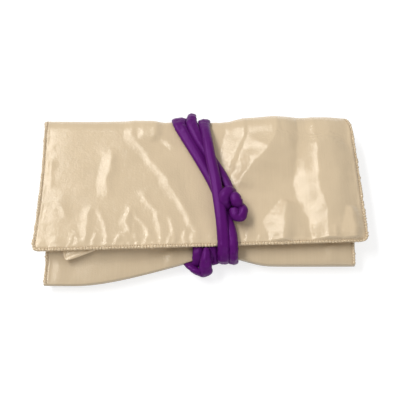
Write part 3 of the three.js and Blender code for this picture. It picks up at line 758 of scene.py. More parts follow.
def satin(nodes, colour, roughness, gloss, gloss_tint, grain):
    """Satin weave: fine floats down the cloth, soft unevenness of colour, and a grainy gloss."""
    place = nodes.place()
    cloth = nodes.cloth()
    cloudy = nodes.noise(place, Scale=42.0, Detail=3.0, Roughness=0.55)
    tint = nodes.ramp(cloudy, (0.3, shade(colour, 0.96)), (0.7, shade(colour, 1.03)))
    slubs = nodes.add("ShaderNodeMapping", Scale=(1300, 45, 45))
    nodes.link(cloth, slubs.inputs["Vector"])
    streaks = nodes.noise(slubs.outputs["Vector"], Scale=1.0, Detail=2.0)
    fine = nodes.ramp(streaks, (0.3, (0.965, 0.96, 0.95)), (0.7, (1.0, 1.0, 1.0)))
    worn = nodes.add("ShaderNodeMix", data_type="RGBA", blend_type="MULTIPLY")
    worn.inputs["Factor"].default_value = 1.0
    nodes.link(tint, worn.inputs["A"])
    nodes.link(fine, worn.inputs["B"])
    floats = nodes.wave(cloth, "X", Scale=2 * math.pi / (20 * SATIN_FLOAT), Distortion=1.5, Detail=1.0)
    billows = nodes.noise(place, Scale=130.0, Detail=2.0)
    speckle = nodes.noise(place, Scale=1 / grain, Detail=2.0, Roughness=0.65)
    weave = nodes.bump(floats, strength=0.08, distance=SATIN_FLOAT)
    puffs = nodes.bump(billows, strength=0.4, distance=0.0003, under=weave)
    nodes.dress({
        "Base Color": worn.outputs["Result"],
        "Normal": nodes.bump(speckle, strength=0.14, distance=grain, under=puffs),
        "Roughness": nodes.spread(speckle, low=roughness - 0.05, high=roughness + 0.07, start=0.3, end=0.7),
        "Specular IOR Level": gloss,
        "Specular Tint": gloss_tint,
    })


def outer_satin():
    colour = bpy.context.scene.roll_colours.satin
    return material_named("outer_cloth", satin, colour=colour, roughness=0.15, gloss=0.56,
                          gloss_tint=CHAMPAGNE_GLOSS, grain=0.0014)


def front_shaded_satin():
    """The same cloth on the turned-up front, painted a shade darker there to stand in for the shade that
    falls on it.
    """
    # Painted shade: the front's copy of the outer satin is 0.88 times as bright.
    colour = shade(bpy.context.scene.roll_colours.satin, 0.88)
    return material_named("front_shaded_cloth", satin, colour=colour, roughness=0.19, gloss=0.5,
                          gloss_tint=CHAMPAGNE_GLOSS, grain=0.0008)


def lining_satin():
    colour = bpy.context.scene.roll_colours.lining
    return material_named("lining_cloth", satin, colour=colour, roughness=0.25, gloss=0.45,
                          gloss_tint=CHAMPAGNE_GLOSS, grain=0.0008)


def tie_satin():
    colour = bpy.context.scene.roll_colours.tie
    return material_named("tie_cloth", satin, colour=colour, roughness=0.36, gloss=0.3,
                          gloss_tint=PURPLE_GLOSS, grain=0.0008)


def twisted_thread(nodes, colour):
    """Twisted thread: slanting plies and a dull gloss."""
    plies = nodes.wave(nodes.place(), "DIAGONAL", Scale=450.0, Distortion=0.6)
    nodes.dress({
        "Base Color": nodes.ramp(plies, (0.2, shade(colour, 0.8)), (0.8, shade(colour, 1.1))),
        "Normal": nodes.bump(plies, strength=0.4, distance=0.0001),
        "Roughness": 0.5,
        "Sheen Weight": 0.2,
    })


def thread_material():
    return material_named("topstitch_thread", twisted_thread, colour=bpy.context.scene.roll_colours.thread)


def woven_tape(nodes, colour):
    """Woven tape: slanting threads and a dull gloss."""
    slant = nodes.wave(nodes.cloth(), "DIAGONAL", Scale=620.0, Distortion=0.4)
    nodes.dress({
        "Base Color": nodes.ramp(slant, (0.1, shade(colour, 0.78)), (0.9, shade(colour, 1.08))),
        "Normal": nodes.bump(slant, strength=0.5, distance=0.00012),
        "Roughness": 0.75,
        "Sheen Weight": 0.2,
    })


def tape_material():
    return material_named("woven_tape", woven_tape, colour=bpy.context.scene.roll_colours.tape)


def moulded_nylon(nodes, colour):
    """Moulded nylon: slightly milky, with a soft gloss that is uneven from tooth to tooth."""
    cloudy = nodes.noise(nodes.place(), Scale=300.0, Detail=2.0)
    nodes.dress({
        "Base Color": nodes.ramp(cloudy, (0.3, shade(colour, 0.92)), (0.7, shade(colour, 1.05))),
        "Roughness": nodes.spread(cloudy, low=0.28, high=0.42),
    })


def nylon_material():
    return material_named("moulded_nylon", moulded_nylon, colour=bpy.context.scene.roll_colours.nylon)


def worn_brass(nodes, colour):
    """Polished brass, a little dull in patches."""
    worn = nodes.noise(nodes.place(), Scale=220.0, Detail=4.0, Roughness=0.6)
    nodes.dress({
        "Base Color": nodes.ramp(worn, (0.35, shade(colour, 0.94)), (0.7, shade(colour, 1.03))),
        "Roughness": nodes.spread(worn, low=0.28, high=0.36),
        "Metallic": 1.0,
    })


# Panels that go on round a fold: the flap and the turned-up front.
# LEVEL is the angle at the middle of a fold, a hair below 0 so that the middle row counts as its upper half.
LEVEL = -0.01
EDGE_RADIUS = 1.1
GATHER_OFFSET = 0.7
STITCH_LIFT = 0.1


def hem_profile(distance, inset):
    """Height of a turned and topstitched hem over plain cloth, by distance from the edge."""
    bead = ridge(distance, place=0.9, height=0.25, width=0.7)
    groove = ridge(distance, place=inset, height=-0.18, width=0.45)
    fullness = ridge(distance, place=inset + 1.2, height=0.12, width=0.8)
    return bead + groove + fullness - 0.7 * edge_round(distance, EDGE_RADIUS)


class Panel:
    """What both panels share. v runs from the free edge to the fold line, and on round the fold."""
    fine = 0.5
    border = 6.5
    fold_step = 1.2

    def __init__(self, roll, width, depth):
        self.roll = roll
        self.inset = bpy.context.scene.roll_sizes.stitch_inset / MM
        self.width = width
        self.depth = depth
        self.across = graded(width, self.fine, self.coarse_across, self.border) - width / 2
        panel = graded(depth, self.fine, self.coarse_along, self.border, both=False)
        self.along = np.concatenate([panel, depth + self.fold_step * np.arange(1, self.fold_steps + 1)])

    def fold_angle(self, v):
        """Angle round the fold: up where the panel ends and down where the back begins."""
        past = np.maximum(0, v - self.depth) / (self.fold_step * self.fold_steps)
        return math.pi / 2 - past * math.pi

    def stitch_route(self, offset):
        """Points round the free edge and the two sides, on the outer face, at a distance from the edge."""
        half = self.width / 2 - offset
        far = self.depth + self.stitch_past
        return three_sides(self.outer, -half, half, far, offset, self.side_points, self.free_points)


class Flap(Panel):
    """Outer face and lining of the flap, which go on over the top fold to the back."""
    coarse_across = 0.9
    coarse_along = 0.9
    fold_steps = 30
    stitch_past = 12
    side_points = 90
    free_points = 190
    fold_blend = 5

    def __init__(self, roll):
        super().__init__(roll, roll.hem_width, FOLD_LINE + (roll.hem_left + roll.hem_right) / 2)

    def spots(self, u, v):
        """x and y on the panel, and the angle round the fold for what lies past it."""
        roll = self.roll
        share = u / (self.width / 2)
        y = mix(roll.hem_line(u), FOLD_LINE, clamp(v / self.depth))
        angle = self.fold_angle(v)
        drawn_in = roll.fold_taper * ease((share - 0.5) / 0.5) - roll.fold_swell * ease(-(share + 0.5) / 0.5)
        drawn_in = drawn_in * np.square(np.cos(angle))
        return share * roll.flap_half(share, y) * (1 - drawn_in), y, angle

    def edge(self, x, y, on_fold=False):
        """Distance from the nearest free edge. On the fold only the sides are free."""
        side = self.roll.flap_half(x, y) - np.abs(x)
        return np.where(on_fold, side, np.minimum(side, y - self.roll.hem_line(x)))

    def relief(self, x, y):
        """Creases, puckers and unevenness of the outer face."""
        edge = self.edge(x, y)
        fine = waves(x, 0.3 * y, size=3.4, height=0.14, seed=9)
        fine = fine + waves(0.3 * x, y, size=3.4, height=0.14, seed=10)
        y = FOLD_LINE - np.hypot(FOLD_LINE - y, self.fold_blend)
        height = waves(x, y, size=46, height=0.14, seed=3)
        height = height + waves(x, y, size=15, height=0.035, seed=5)
        height = height + waves(x, y, size=5, height=0.012, seed=6)
        bent_x = x + waves(x, y, size=24, height=1.7, seed=61) + waves(x, y, size=9, height=0.6, seed=62)
        bent_y = y + waves(x, y, size=24, height=1.7, seed=63)
        for crease in FLAP_CREASES:
            height = height + crease_height(bent_x, bent_y, crease)
        broad = waves(x, 0.15 * y, size=9, height=0.3, seed=7)
        broad = broad + waves(0.1 * x, y, size=8, height=0.25, seed=8)
        puckers = ridge(edge, place=6, height=broad, width=4) + ridge(edge, place=3.2, height=fine, width=2.2)
        pressed = 0.75 * self.roll.waist(x, y, half=9.0, run=10.0)
        return (height * (1 - pressed) + puckers) * ease((edge - 0.8) / 2)

    def fold(self, angle, low, high, reach):
        y = FOLD_LINE + (self.roll.seat + reach) * np.cos(angle)
        return y, (low + high) / 2 + (high - low) / 2 * np.sin(angle)

    def outer(self, u, v):
        roll = self.roll
        x, y, angle = self.spots(u, v)
        on_fold = v > self.depth
        hem = hem_profile(self.edge(x, y, on_fold), self.inset)
        top = roll.flap_top(x, y) + hem + self.relief(x, y)
        gather = ridge(np.abs(x + 6), place=24, height=waves(x, 0, size=9, height=0.35, seed=11), width=14)
        reach = roll.fold_reach(x) + gather * np.cos(angle)
        fold_y, fold_z = self.fold(angle, roll.back_under(x, FOLD_LINE), top, reach)
        return x, np.where(on_fold, fold_y, y), np.where(on_fold, fold_z, top)

    def inner(self, u, v):
        roll = self.roll
        x, y, angle = self.spots(u, v)
        on_fold = v > self.depth
        edge = self.edge(x, y, on_fold)
        turned = 0.35 * edge_round(edge, EDGE_RADIUS) + ridge(edge, place=self.inset, height=0.25, width=0.5)
        floor = roll.flap_floor(x, y) + turned
        reach = roll.fold_reach(x) - mix(roll.fold_slack, roll.waist_slack, roll.fold_drawn(x))
        fold_y, fold_z = self.fold(angle, BACK_TOP, floor, reach)
        return x, np.where(on_fold, fold_y, y), np.where(on_fold, fold_z, floor)


def make_flap():
    flap = Flap(Roll())
    cloths = [outer_satin(), lining_satin()]
    pad = grid_piece("flap_pad", flap.across, flap.along, flap.outer, flap.inner, cloths)
    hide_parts("flap_satin", "flap_padding", "flap_lining", "top_fold_satin", "top_fold_lining")
    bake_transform(pad)
    stitches = stitch_rows("flap_topstitching", [flap.stitch_route(flap.inset)], STITCH_LIFT)
    gathers = hem_gathers("flap_hem_gathers", [flap.stitch_route(GATHER_OFFSET)])
    for trim in (stitches, gathers):
        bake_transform(trim)


def parted_angle(angle, middle, half, low, high):
    """Angles round a fold that leave out the levels from low to high, where its cloth changes bodies."""
    above = np.arcsin(np.clip((high - middle) / half, -1, 1))
    below = np.arcsin(np.clip((low - middle) / half, -1, 1))
    share = np.abs(angle) / (math.pi / 2)
    return np.where(angle > LEVEL, mix(above, math.pi / 2, share), mix(below, -math.pi / 2, share))


class Front(Panel):
    """Outer face and lining of the turned-up front, which go on round the bottom fold to the back."""
    coarse_across = 1.5
    coarse_along = 1.4
    fold_steps = 24
    stitch_past = 14
    side_points = 70
    free_points = 180
    part_below = 0.9
    part_above = 1.7
    nose_power = 1.4
    lining_rise = 0.9
    lining_wall = 0.17
    least_reach = 0.8

    def __init__(self, roll):
        super().__init__(roll, roll.front_width, FRONT_FREE + roll.bottom_left - roll.nose)

    def spots(self, u, v):
        """y on the panel, the fold line, and the angle round the fold for what lies past it."""
        line = self.roll.bottom_line(u)
        return mix(FRONT_FREE, line, clamp(v / self.depth)), line, self.fold_angle(v)

    def edge(self, x, y, on_fold):
        side = self.width / 2 - np.abs(x)
        return np.where(on_fold, side, np.minimum(side, FRONT_FREE - y))

    def relief(self, x, y):
        side = self.width / 2 - np.abs(x)
        height = waves(x, y, size=34, height=0.3, seed=21) + waves(x, y, size=12, height=0.1, seed=22)
        for crease in FRONT_CREASES:
            height = height + crease_height(x, y, crease)
        pressed = 0.8 * self.roll.waist(x, y, self.roll.front_waist)
        return height * ease((side - 2.5) / 4) * (1 - pressed)

    def outer(self, x, v):
        roll = self.roll
        y, line, angle = self.spots(x, v)
        on_fold = v > self.depth
        hem = hem_profile(self.edge(x, y, on_fold), self.inset)
        top = roll.front_level(x, y) + hem + self.relief(x, y)
        low = roll.back_under(x, line)
        middle, half = (low + top) / 2, (top - low) / 2
        turn = parted_angle(angle, middle, half, BACK_TOP - self.part_below, BACK_TOP + self.part_above)
        round_out = np.maximum(0, np.cos(angle)) ** self.nose_power
        fold_y = line - roll.nose_depth(x) * np.where(angle > LEVEL, round_out, np.cos(angle))
        return x, np.where(on_fold, fold_y, y), np.where(on_fold, middle + half * np.sin(turn), top)

    def inner(self, x, v):
        roll = self.roll
        y, line, angle = self.spots(x, v)
        on_fold = v > self.depth
        edge = self.edge(x, y, on_fold)
        turned = 0.5 * edge_round(edge, EDGE_RADIUS) + ridge(edge, place=self.inset, height=0.3, width=0.5)
        floor = roll.front_level(x, y) - roll.least_stack + turned
        reach = np.clip(line - roll.front_hinge(x), self.least_reach, roll.nose_depth(x) - roll.fold_slack)
        lifted = angle > LEVEL
        run = 1 - np.abs(angle) / (math.pi / 2)
        wall = self.lining_wall
        fold_y = line - reach * np.where(lifted, clamp((run - wall) / (1 - wall)), run)
        lift = mix(floor, np.minimum(floor, BACK_TOP + self.lining_rise), clamp(run / wall))
        fold_z = np.where(lifted, lift, BACK_TOP)
        return x, np.where(on_fold, fold_y, y), np.where(on_fold, fold_z, floor)


def make_front():
    front = Front(Roll())
    # The front's outer face wears the copy of the satin with painted shade, darker than the flap's.
    cloths = [front_shaded_satin(), lining_satin()]
    pad = grid_piece("front_pad", front.across, front.along, front.outer, front.inner, cloths)
    for polygon in pad.data.polygons:
        polygon.flip()
    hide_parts("front_satin", "front_padding", "front_lining", "bottom_fold_satin",
                "bottom_fold_lining")
    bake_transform(pad)
    stitches = stitch_rows("front_topstitching", [front.stitch_route(front.inset)], STITCH_LIFT)
    gathers = hem_gathers("front_hem_gathers", [front.stitch_route(GATHER_OFFSET)])
    for trim in (stitches, gathers):
        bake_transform(trim)


# Back.
class Back:
    """Padded back: the belly that lies on the table, and the lining that carries the pockets."""
    edge_radius = 1.2

    def __init__(self, roll):
        self.roll = roll
        self.depth = FOLD_LINE + roll.bottom_left - roll.nose
        self.across = graded(roll.fold_width, fine=0.5, coarse=1.6, border=4) - roll.fold_width / 2
        self.along = graded(self.depth, fine=0.6, coarse=1.6, border=3)

    def spots(self, u, v):
        """x and y, and the distance from the nearer side."""
        roll = self.roll
        share = u / (roll.fold_width / 2)
        y = mix(roll.bottom_line(share * roll.front_width / 2), FOLD_LINE, v / self.depth)
        x = share * roll.back_half(y)
        return x, y, roll.back_half(y) - np.abs(x)

    def lining(self, u, v):
        x, y, edge = self.spots(u, v)
        seam = ridge(edge, place=3, height=-0.35, width=0.5)
        return x, y, BACK_TOP - 0.6 * edge_round(edge, self.edge_radius) + seam

    def belly(self, u, v):
        x, y, edge = self.spots(u, v)
        return x, y, self.roll.back_under(x, y) + 0.5 * edge_round(edge, self.edge_radius)


def make_back():
    back = Back(Roll())
    cloths = [lining_satin(), outer_satin()]
    pad = grid_piece("back_pad", back.across, back.along, back.lining, back.belly, cloths)
    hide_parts("back_satin", "back_padding", "back_lining")
    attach(pad, "back")


# Tie. Its routes follow the solids' strands, in millimetres.
ON_TOP = 22.2
UNDER_BACK = 3.0
FOLD_LEVEL = 12.4
FOLD_RISE = 9.8
FOLD_ROOM = 2.4
NOSE_LEVEL = 8.4
NOSE_RISE = 5.8
NOSE_ROOM = 2.3
TUCK_LEVEL = 14.2
FLAT_THICK = 1.9


def round_fold(x, angle, slack):
    turn = math.radians(angle)
    reach = Roll.top_reach_waist + FOLD_ROOM + slack
    return (x, FOLD_LINE + reach * math.cos(turn), FOLD_LEVEL + FOLD_RISE * math.sin(turn))


def round_nose(roll, x, angle, slack=0.0):
    turn = math.radians(angle)
    reach = float(roll.nose_depth(x)) + NOSE_ROOM + slack
    return (x, float(roll.bottom_line(x)) - reach * math.cos(turn), NOSE_LEVEL + NOSE_RISE * math.sin(turn))


def round_back(roll, front_x, rear_x, slack, front_slack):
    route = [round_nose(roll, front_x, angle, front_slack) for angle in (0, -50)]
    for share in (0.04, 0.28, 0.52, 0.76, 0.96):
        y = mix(float(roll.bottom_line(front_x)), FOLD_LINE, share)
        route.append((mix(front_x, rear_x, share), y, UNDER_BACK))
    return route + [round_fold(rear_x, angle, slack) for angle in (-65, -35, 0, 35, 65)]


def over_hem(roll, x):
    hem = float(roll.hem_line(x))
    return [(x, hem - 2.8, 20.4), (x, hem - 7.6, 15.0)]


def tucked_under_hem(roll, x):
    hem = float(roll.hem_line(x))
    return [(x, hem + 5.5, TUCK_LEVEL), (x, hem + 1, TUCK_LEVEL), round_nose(roll, x, 48)]


def sized(points, start, end, thick=2.5):
    """Points with the tie's half width, changing evenly from start to end, and its half thickness."""
    widths = np.linspace(start, end, len(points))
    return [(*point, width, thick) for point, width in zip(points, widths)]


def crested(points, widths):
    """The same points with other half widths for the last ones, which go round the top fold."""
    count = len(widths)
    crest = [(*point[:3], width, point[4]) for point, width in zip(points[-count:], widths)]
    return points[:-count] + crest


def tie_routes(roll):
    """Middle lines of the three lengths of the tie that show, with half widths and half thicknesses."""
    first, second, third, fourth = -1.2, 8.6, 15.9, 22.4
    first_turn = round_back(roll, first, -15.2, -0.8, 0.8)
    second_turn = round_back(roll, fourth, 3.0, -2.2, 0.8)
    knotted_turn = round_back(roll, second, -6.2, 3.4, 1.6)
    wrapped = [
        *sized(tucked_under_hem(roll, first), 4.3, 4.3),
        *crested(sized(first_turn, 4.6, 4.4, FLAT_THICK), (4.6, 5.4, 6, 5.8, 5)),
        *sized([
            (-10.9, 46, ON_TOP), (0.2, 25, ON_TOP), (8.4, 8, ON_TOP), (14.2, -8, ON_TOP), (18.8, -22, ON_TOP),
            (21.6, -33, ON_TOP), *over_hem(roll, fourth),
        ], 4.2, 3.2),
        *crested(sized(second_turn, 3.8, 3.9, FLAT_THICK), (3.9, 4.2, 4.6, 4.6, 4.2)),
        *sized([
            (4.2, 47, ON_TOP + 2.2), (5.4, 37, ON_TOP + 5.0), (7.2, 24, ON_TOP + 5.5),
            (10.2, 8, ON_TOP + 5.5), (12.4, -8, ON_TOP + 5.4), (13.9, -20, ON_TOP + 4.6),
            (15, -30, ON_TOP + 2.6), (15.6, -37, ON_TOP + 0.3), *over_hem(roll, third),
        ], 3.8, 4.2),
        *sized([
            round_nose(roll, third, 0, 1.4), round_nose(roll, third, -50, 1.4), (15.9, -32, UNDER_BACK),
            (14.6, -25, UNDER_BACK),
        ], 4.4, 3.2, FLAT_THICK),
    ]
    knotted = [
        *sized(tucked_under_hem(roll, second), 4.0, 4.0),
        *crested(sized(knotted_turn, 4.4, 4.2, FLAT_THICK), (4.2, 3.8, 3.1, 3.2, 4.2)),
        *sized([
            (-2.6, 46, ON_TOP + 0.4), (3.2, 35, ON_TOP), (9.2, 24, ON_TOP), (14.9, 14, ON_TOP),
            (18.4, 6.6, ON_TOP + 0.4), (20.4, 1.2, ON_TOP + 1.2),
        ], 4.1, 3.2),
    ]
    knot = [
        (22.4, -4.0, 23.0, 2.9, 2.8), (22.2, -9.2, 23.0, 2.9, 2.8), (19.2, -12.2, 24.6, 3.2, 3.1),
        (16.6, -11.0, 27.6, 3.9, 3.7), (16.9, -7.4, 29.4, 4.3, 4.1), (19.4, -4.0, 29.0, 4.0, 3.9),
        (22.0, -2.6, 26.2, 3.2, 3.1), (23.4, -4.2, 24.4, 2.8, 2.8), (23.4, -6.6, 26.6, 3.6, 3.5),
        (23.8, -9.2, 29.2, 4.3, 4.2), (25.2, -12.0, 28.6, 4.2, 4.0), (27.4, -13.6, 26.0, 3.2, 3.0),
        (28.6, -15.6, 26.2, 3.6, 3.3), (28.9, -18.4, 26.4, 3.7, 3.4), (27.8, -21.2, 26.2, 3.7, 3.4),
        (25.6, -22.0, 26.0, 3.6, 3.4), (23.8, -20.4, 26.2, 3.8, 3.5), (23.4, -17.8, 26.6, 3.8, 3.5),
        (23.4, -15.4, 26.6, 3.5, 3.2),
    ]
    tucked = [
        (4.2, -40.6, 16.6, 2.0, 1.7), (4.1, -44.4, 17.6, 2.6, 2.0), (3.9, -48.4, 16.8, 3.6, 2.3),
        (3.7, -53.0, 13.6, 4.5, 2.5), (3.4, -55.4, 9.8, 4.9, 2.6), (1.6, -55.4, 7.6, 4.9, 2.6),
        (-1.8, -54.2, 7.4, 5.8, 2.5), (-5.6, -49.6, 6.6, 5.4, 2.4), (-9.0, -44.8, 4.8, 3.8, 2.3),
        (-11.4, -40, 3.6, 3.4, 2.3), (-12.4, -33, UNDER_BACK, 3.2, 2.3),
    ]
    return wrapped, knotted, knot, tucked


# Flutes of the tie: each set's depth, its count round the tube, its twist along it and its share of the seed.
FLUTES = ((0.1, 2, 0.04, 1), (0.09, 5, -0.07, 2))
TIE_SIDES = 28
TIE_STEP = 0.8
TIE_GIRTH = 20
CAP_RUN = 2.4
CAP_START = 0.25
BEND_SPAN = 8
PLEAT_DEPTH = 0.28
PLEAT_BEND = 9


def tie_tube(name, roll, points, seed):
    """A soft satin tube along a route: oval where it lies flat, fuller in the knot, creased at its bends."""
    length = run_along(smooth_line(points, 400)[:, :3])[-1]
    route = smooth_line(points, int(length / TIE_STEP))
    line, half_wide, half_thick = route[:, :3], route[:, 3], route[:, 4]
    along = run_along(line)
    bend = np.linalg.norm(np.gradient(directions(line), along, axis=0), axis=1)
    near = 2 * BEND_SPAN + 1
    bend = np.convolve(np.pad(bend, BEND_SPAN, mode="edge"), np.ones(near) / near, mode="valid")

    def section(i, ahead, up):
        x, y, z = line[i]
        s = along[i]
        core = min(max(y, float(roll.bottom_line(x))), FOLD_LINE)
        outward = Vector((0, y - core, z - FOLD_LEVEL))
        outward = outward - ahead * outward.dot(ahead)
        outward = outward.normalized() if outward.length > 0.05 else up
        cap = min(1.0, (along[-1] - s + CAP_START) / CAP_RUN, (s + CAP_START) / CAP_RUN)
        cap = math.sqrt(max(0.0, 1 - (1 - cap) ** 2))
        pleated = min(1.0, bend[i] * PLEAT_BEND) * PLEAT_DEPTH
        seam_at = math.pi * (0.9 + 0.2 * math.sin(s * 0.03 + seed))

        def reach(turn, way):
            high = way.dot(outward)
            wide = math.sqrt(max(0.0, 1 - high ** 2))
            oval = 1 / math.hypot(high / half_thick[i], wide / half_wide[i])
            flute = sum(depth * math.sin(count * turn + s * twist + share * seed)
                        for depth, count, twist, share in FLUTES)
            seam = ridge(turn, place=seam_at, height=-0.22, width=0.22)
            pleat = math.sin(s * 1.35 + 1.8 * math.sin(turn + s * 0.17) + seed)
            pleat = pleat * math.sin(s * 0.31 + turn + seed) * pleated
            return (oval + flute + seam + pleat) * cap

        return reach

    tube = soft_tube(name, line, Vector((1, 0, 0)), TIE_SIDES, TIE_GIRTH, section, tie_satin())
    return tube, line * MM, along[-1] * MM


def make_tie():
    roll = Roll()
    wrapped, knotted, knot, tucked = tie_routes(roll)
    lengths = [
        ("tie_wrapped", wrapped, 0.4, "object", ("tie_wrapped_cord",)),
        ("tie_knotted", knotted + knot, 1.7, "knot", ("tie_knotted_cord", "tie_end_knot")),
        ("tie_tucked", tucked, 2.9, "object", ("tie_tucked_end",)),
    ]
    for name, points, seed, far_end, nodes in lengths:
        tube, path, length = tie_tube(name, roll, points, seed)
        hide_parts(*nodes)
        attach(tube, "tie")
        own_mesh(tube)


# Slip pocket under the flap. One hemmed corner hangs out below the hem.
SLIP_EDGE = [
    (-93.6, -42), (-92.6, -46.2), (-91.4, -48.5), (-90.2, -49.1), (-88.6, -48.9), (-80, -45.8), (-72, -42.6),
    (-64, -38.6), (-56, -34.4), (-48, -32.4), (-38, -32), (90, -32),
]
SLIP_WALL = 0.6
FRONT_SINK = 1.3
FRONT_SINK_FROM = -40
FRONT_SINK_RUN = 8
SIDE_SINK = 0.5
SIDE_SINK_FROM = -85
SIDE_SINK_RUN = 7


def make_slip_pocket():
    """A hemmed sheet that hangs under the flap from its rear seam."""
    points = np.array(SLIP_EDGE, float)
    left, right = points[0, 0], points[-1, 0]
    across = graded(right - left, fine=0.5, coarse=1.6, border=6) + left
    along = graded(1.0, fine=0.014, coarse=0.04, border=0.15)

    def spots(x, v):
        """y, the rounding at the edge, the hem's relief, and the level that the sheet hangs at."""
        front = np.interp(x, points[:, 0], points[:, 1])
        y = mix(front, SLIP_HIGH.y, v)
        edge = np.minimum(np.minimum(x - left, right - x), y - front)
        hem = ridge(edge, place=1.2, height=0.2, width=1.0) + ridge(edge, place=2.6, height=-0.22, width=0.45)
        hem = hem + ridge(edge, place=3.9, height=0.12, width=0.9)
        sink = FRONT_SINK * ease((FRONT_SINK_FROM - y) / FRONT_SINK_RUN)
        sink = sink + SIDE_SINK * ease((SIDE_SINK_FROM - x) / SIDE_SINK_RUN)
        return y, 0.3 * edge_round(edge, 0.8), hem, SLIP_HIGH.z - sink

    def outer(x, v):
        y, rounding, hem, level = spots(x, v)
        return x, y, level + hem - rounding

    def inner(x, v):
        y, rounding, hem, level = spots(x, v)
        return x, y, level - SLIP_WALL - hem * 0.5 + rounding

    sheet = grid_piece("slip_pocket", across, along, outer, inner, [outer_satin(), outer_satin()])
    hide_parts("flap_slip_pocket")
    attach(sheet, "flap")


# Two slip pockets on the back lining.
SEAM_HEIGHT = 0.55
POCKET_INSET = 0.9
POCKET_ROOM = 0.9
POCKET_SAG = 0.9
FOLDS_RUN = 5
PATCH_STITCH_LIFT = 0.05


def pocket(name, low, high, nodes):
    """A gathered patch pocket: sewn down on three sides, open towards the ring bar."""
    width, depth = high.x - low.x, high.y - low.y
    across = graded(width, fine=0.35, coarse=1.2, border=4) + low.x
    along = graded(depth, fine=0.35, coarse=1.2, border=4) + low.y

    def rise(x, y):
        edge = np.minimum(np.minimum(x - low.x, high.x - x), y - low.y)
        free = high.y - y
        full = high.z - BACK_TOP - POCKET_ROOM
        sag = POCKET_SAG * np.sin(math.pi * clamp((x - low.x) / width)) * ease((y - low.y) / depth)
        folds = waves(x, 0.4 * y, size=11, height=0.25, seed=31) * clamp(edge / FOLDS_RUN)
        mouth = ridge(free, place=1.0, height=0.22, width=0.9)
        mouth = mouth + ridge(free, place=2.4, height=-0.2, width=0.4)
        return edge, SEAM_HEIGHT + (full - sag + folds + mouth) * swelling(edge - POCKET_INSET, run=4.2)

    outer, inner = patch_faces(rise, wall=0.55, fall=0.25, radius=0.6, least=0.06)
    piece = grid_piece(name, across, along, outer, inner, [lining_satin(), lining_satin()])
    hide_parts(*nodes)
    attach(piece, "back")
    inset = POCKET_INSET
    route = three_sides(outer, low.x + inset, high.x - inset, high.y - 0.5, low.y + inset,
                        side_points=30, near_points=50)
    rows = stitch_rows(name + "_stitching", [route], PATCH_STITCH_LIFT)
    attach(rows, "back")


def make_pockets():
    for side in ("left", "right"):
        low, high = extent(side + "_pocket_panel")
        nodes = [side + "_pocket_" + end for end in ("panel", "outer_side", "inner_side", "bottom")]
        pocket(side + "_pocket", low, high, nodes)


# Ring bar.
BAR_SIDES = 44
BAR_GIRTH = 24
BAR_STEP = 1.2
BAR_END = 9
BAR_END_STEP = 0.4
BAR_ROOM = 0.12
CLOSING_START = 0.15
CLOSING_RUN = 5.2
BAR_PLEATS = 11
BAR_PLEAT_HEIGHT = 0.28
BAR_PLEAT_RUN = 5
# Unevenness of the bar: each wave's height, its turn along the bar and its count round it.
BAR_WAVES = ((0.06, 0.21, 2), (0.05, 0.53, -1))


def make_ring_bar():
    low, high = extent("ring_bar_cover")
    middle = (low + high) / 2
    half = (high.z - low.z) / 2
    length = high.x - low.x
    run = np.concatenate([np.arange(0, BAR_END, BAR_END_STEP),
                          np.arange(BAR_END, length - BAR_END, BAR_STEP),
                          length - np.arange(BAR_END, -0.01, -BAR_END_STEP)])
    line = np.array([(low.x + at, middle.y, middle.z) for at in run])
    along = run_along(line)

    def section(i, ahead, up):
        s = along[i]
        end = min(s, along[-1] - s)
        closing = math.sqrt(max(0.0, 1 - (1 - min(1.0, (end + CLOSING_START) / CLOSING_RUN)) ** 2))

        def reach(turn, way):
            pleats = BAR_PLEAT_HEIGHT * math.cos(BAR_PLEATS * turn) * math.exp(-end / BAR_PLEAT_RUN)
            uneven = sum(height * math.sin(s * rate + count * turn) for height, rate, count in BAR_WAVES)
            return (half - BAR_ROOM + uneven + pleats) * closing

        return reach

    bar = soft_tube("ring_bar", line, Vector((0, 1, 0)), BAR_SIDES, BAR_GIRTH, section, lining_satin())
    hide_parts("ring_bar_cover", "ring_bar_core")
    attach(bar, "ring_bar")
    for node, body in (("ring_bar_tab", "ring_bar"), ("ring_bar_strap", "back")):
        low, high = extent(node)
        strip = flat_strip(node + "_cloth", low, high, lining_satin())
        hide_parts(node)
        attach(strip, body)


# Zip pocket.
TOOTH_PITCH = 2.5
TOOTH_SIZE = (1.05, 2.3, 1.6)
TOOTH_BEVEL = 0.28
TOOTH_ASIDE = 0.55
ROW_END = 0.6
CORD_ASIDE = 1.75
CORD_RADIUS = 0.55
ZIP_INSET = 1.0
LIP_INSET = 2.3


def make_teeth(side, sign):
    low, high = extent("zip_teeth_" + side)
    zip_middle = (extent("zip_teeth_front")[0].y + extent("zip_teeth_rear")[1].y) / 2
    level = (low.z + high.z) / 2
    work = bmesh.new()
    start = low.x + TOOTH_PITCH * (0.5 if sign < 0 else 1.0)
    for x in np.arange(start, high.x - ROW_END, TOOTH_PITCH):
        place = Matrix.Translation(Vector((x, zip_middle + sign * TOOTH_ASIDE, level)) * MM)
        place = place @ Matrix.Diagonal(Vector((*TOOTH_SIZE, 1000)) * MM)
        bmesh.ops.create_cube(work, size=1, matrix=place)
    bmesh.ops.bevel(work, geom=work.edges[:], offset=TOOTH_BEVEL * MM, offset_type="OFFSET", segments=1,
                    profile=0.5, affect="EDGES", material=-1)
    cord = Matrix.Translation(Vector(((low.x + high.x) / 2, zip_middle + sign * CORD_ASIDE, level)) * MM)
    cord = cord @ Matrix.Rotation(math.pi / 2, 4, "Y")
    bmesh.ops.create_cone(work, segments=10, radius1=CORD_RADIUS * MM, radius2=CORD_RADIUS * MM,
                          depth=(high.x - low.x) * MM, cap_ends=True, matrix=cord)
    name = "zip_teeth_" + side + "_row"
    row = new_object(name, mesh_from(work, name, [nylon_material()]))
    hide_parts("zip_teeth_" + side)
    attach(row, "back")


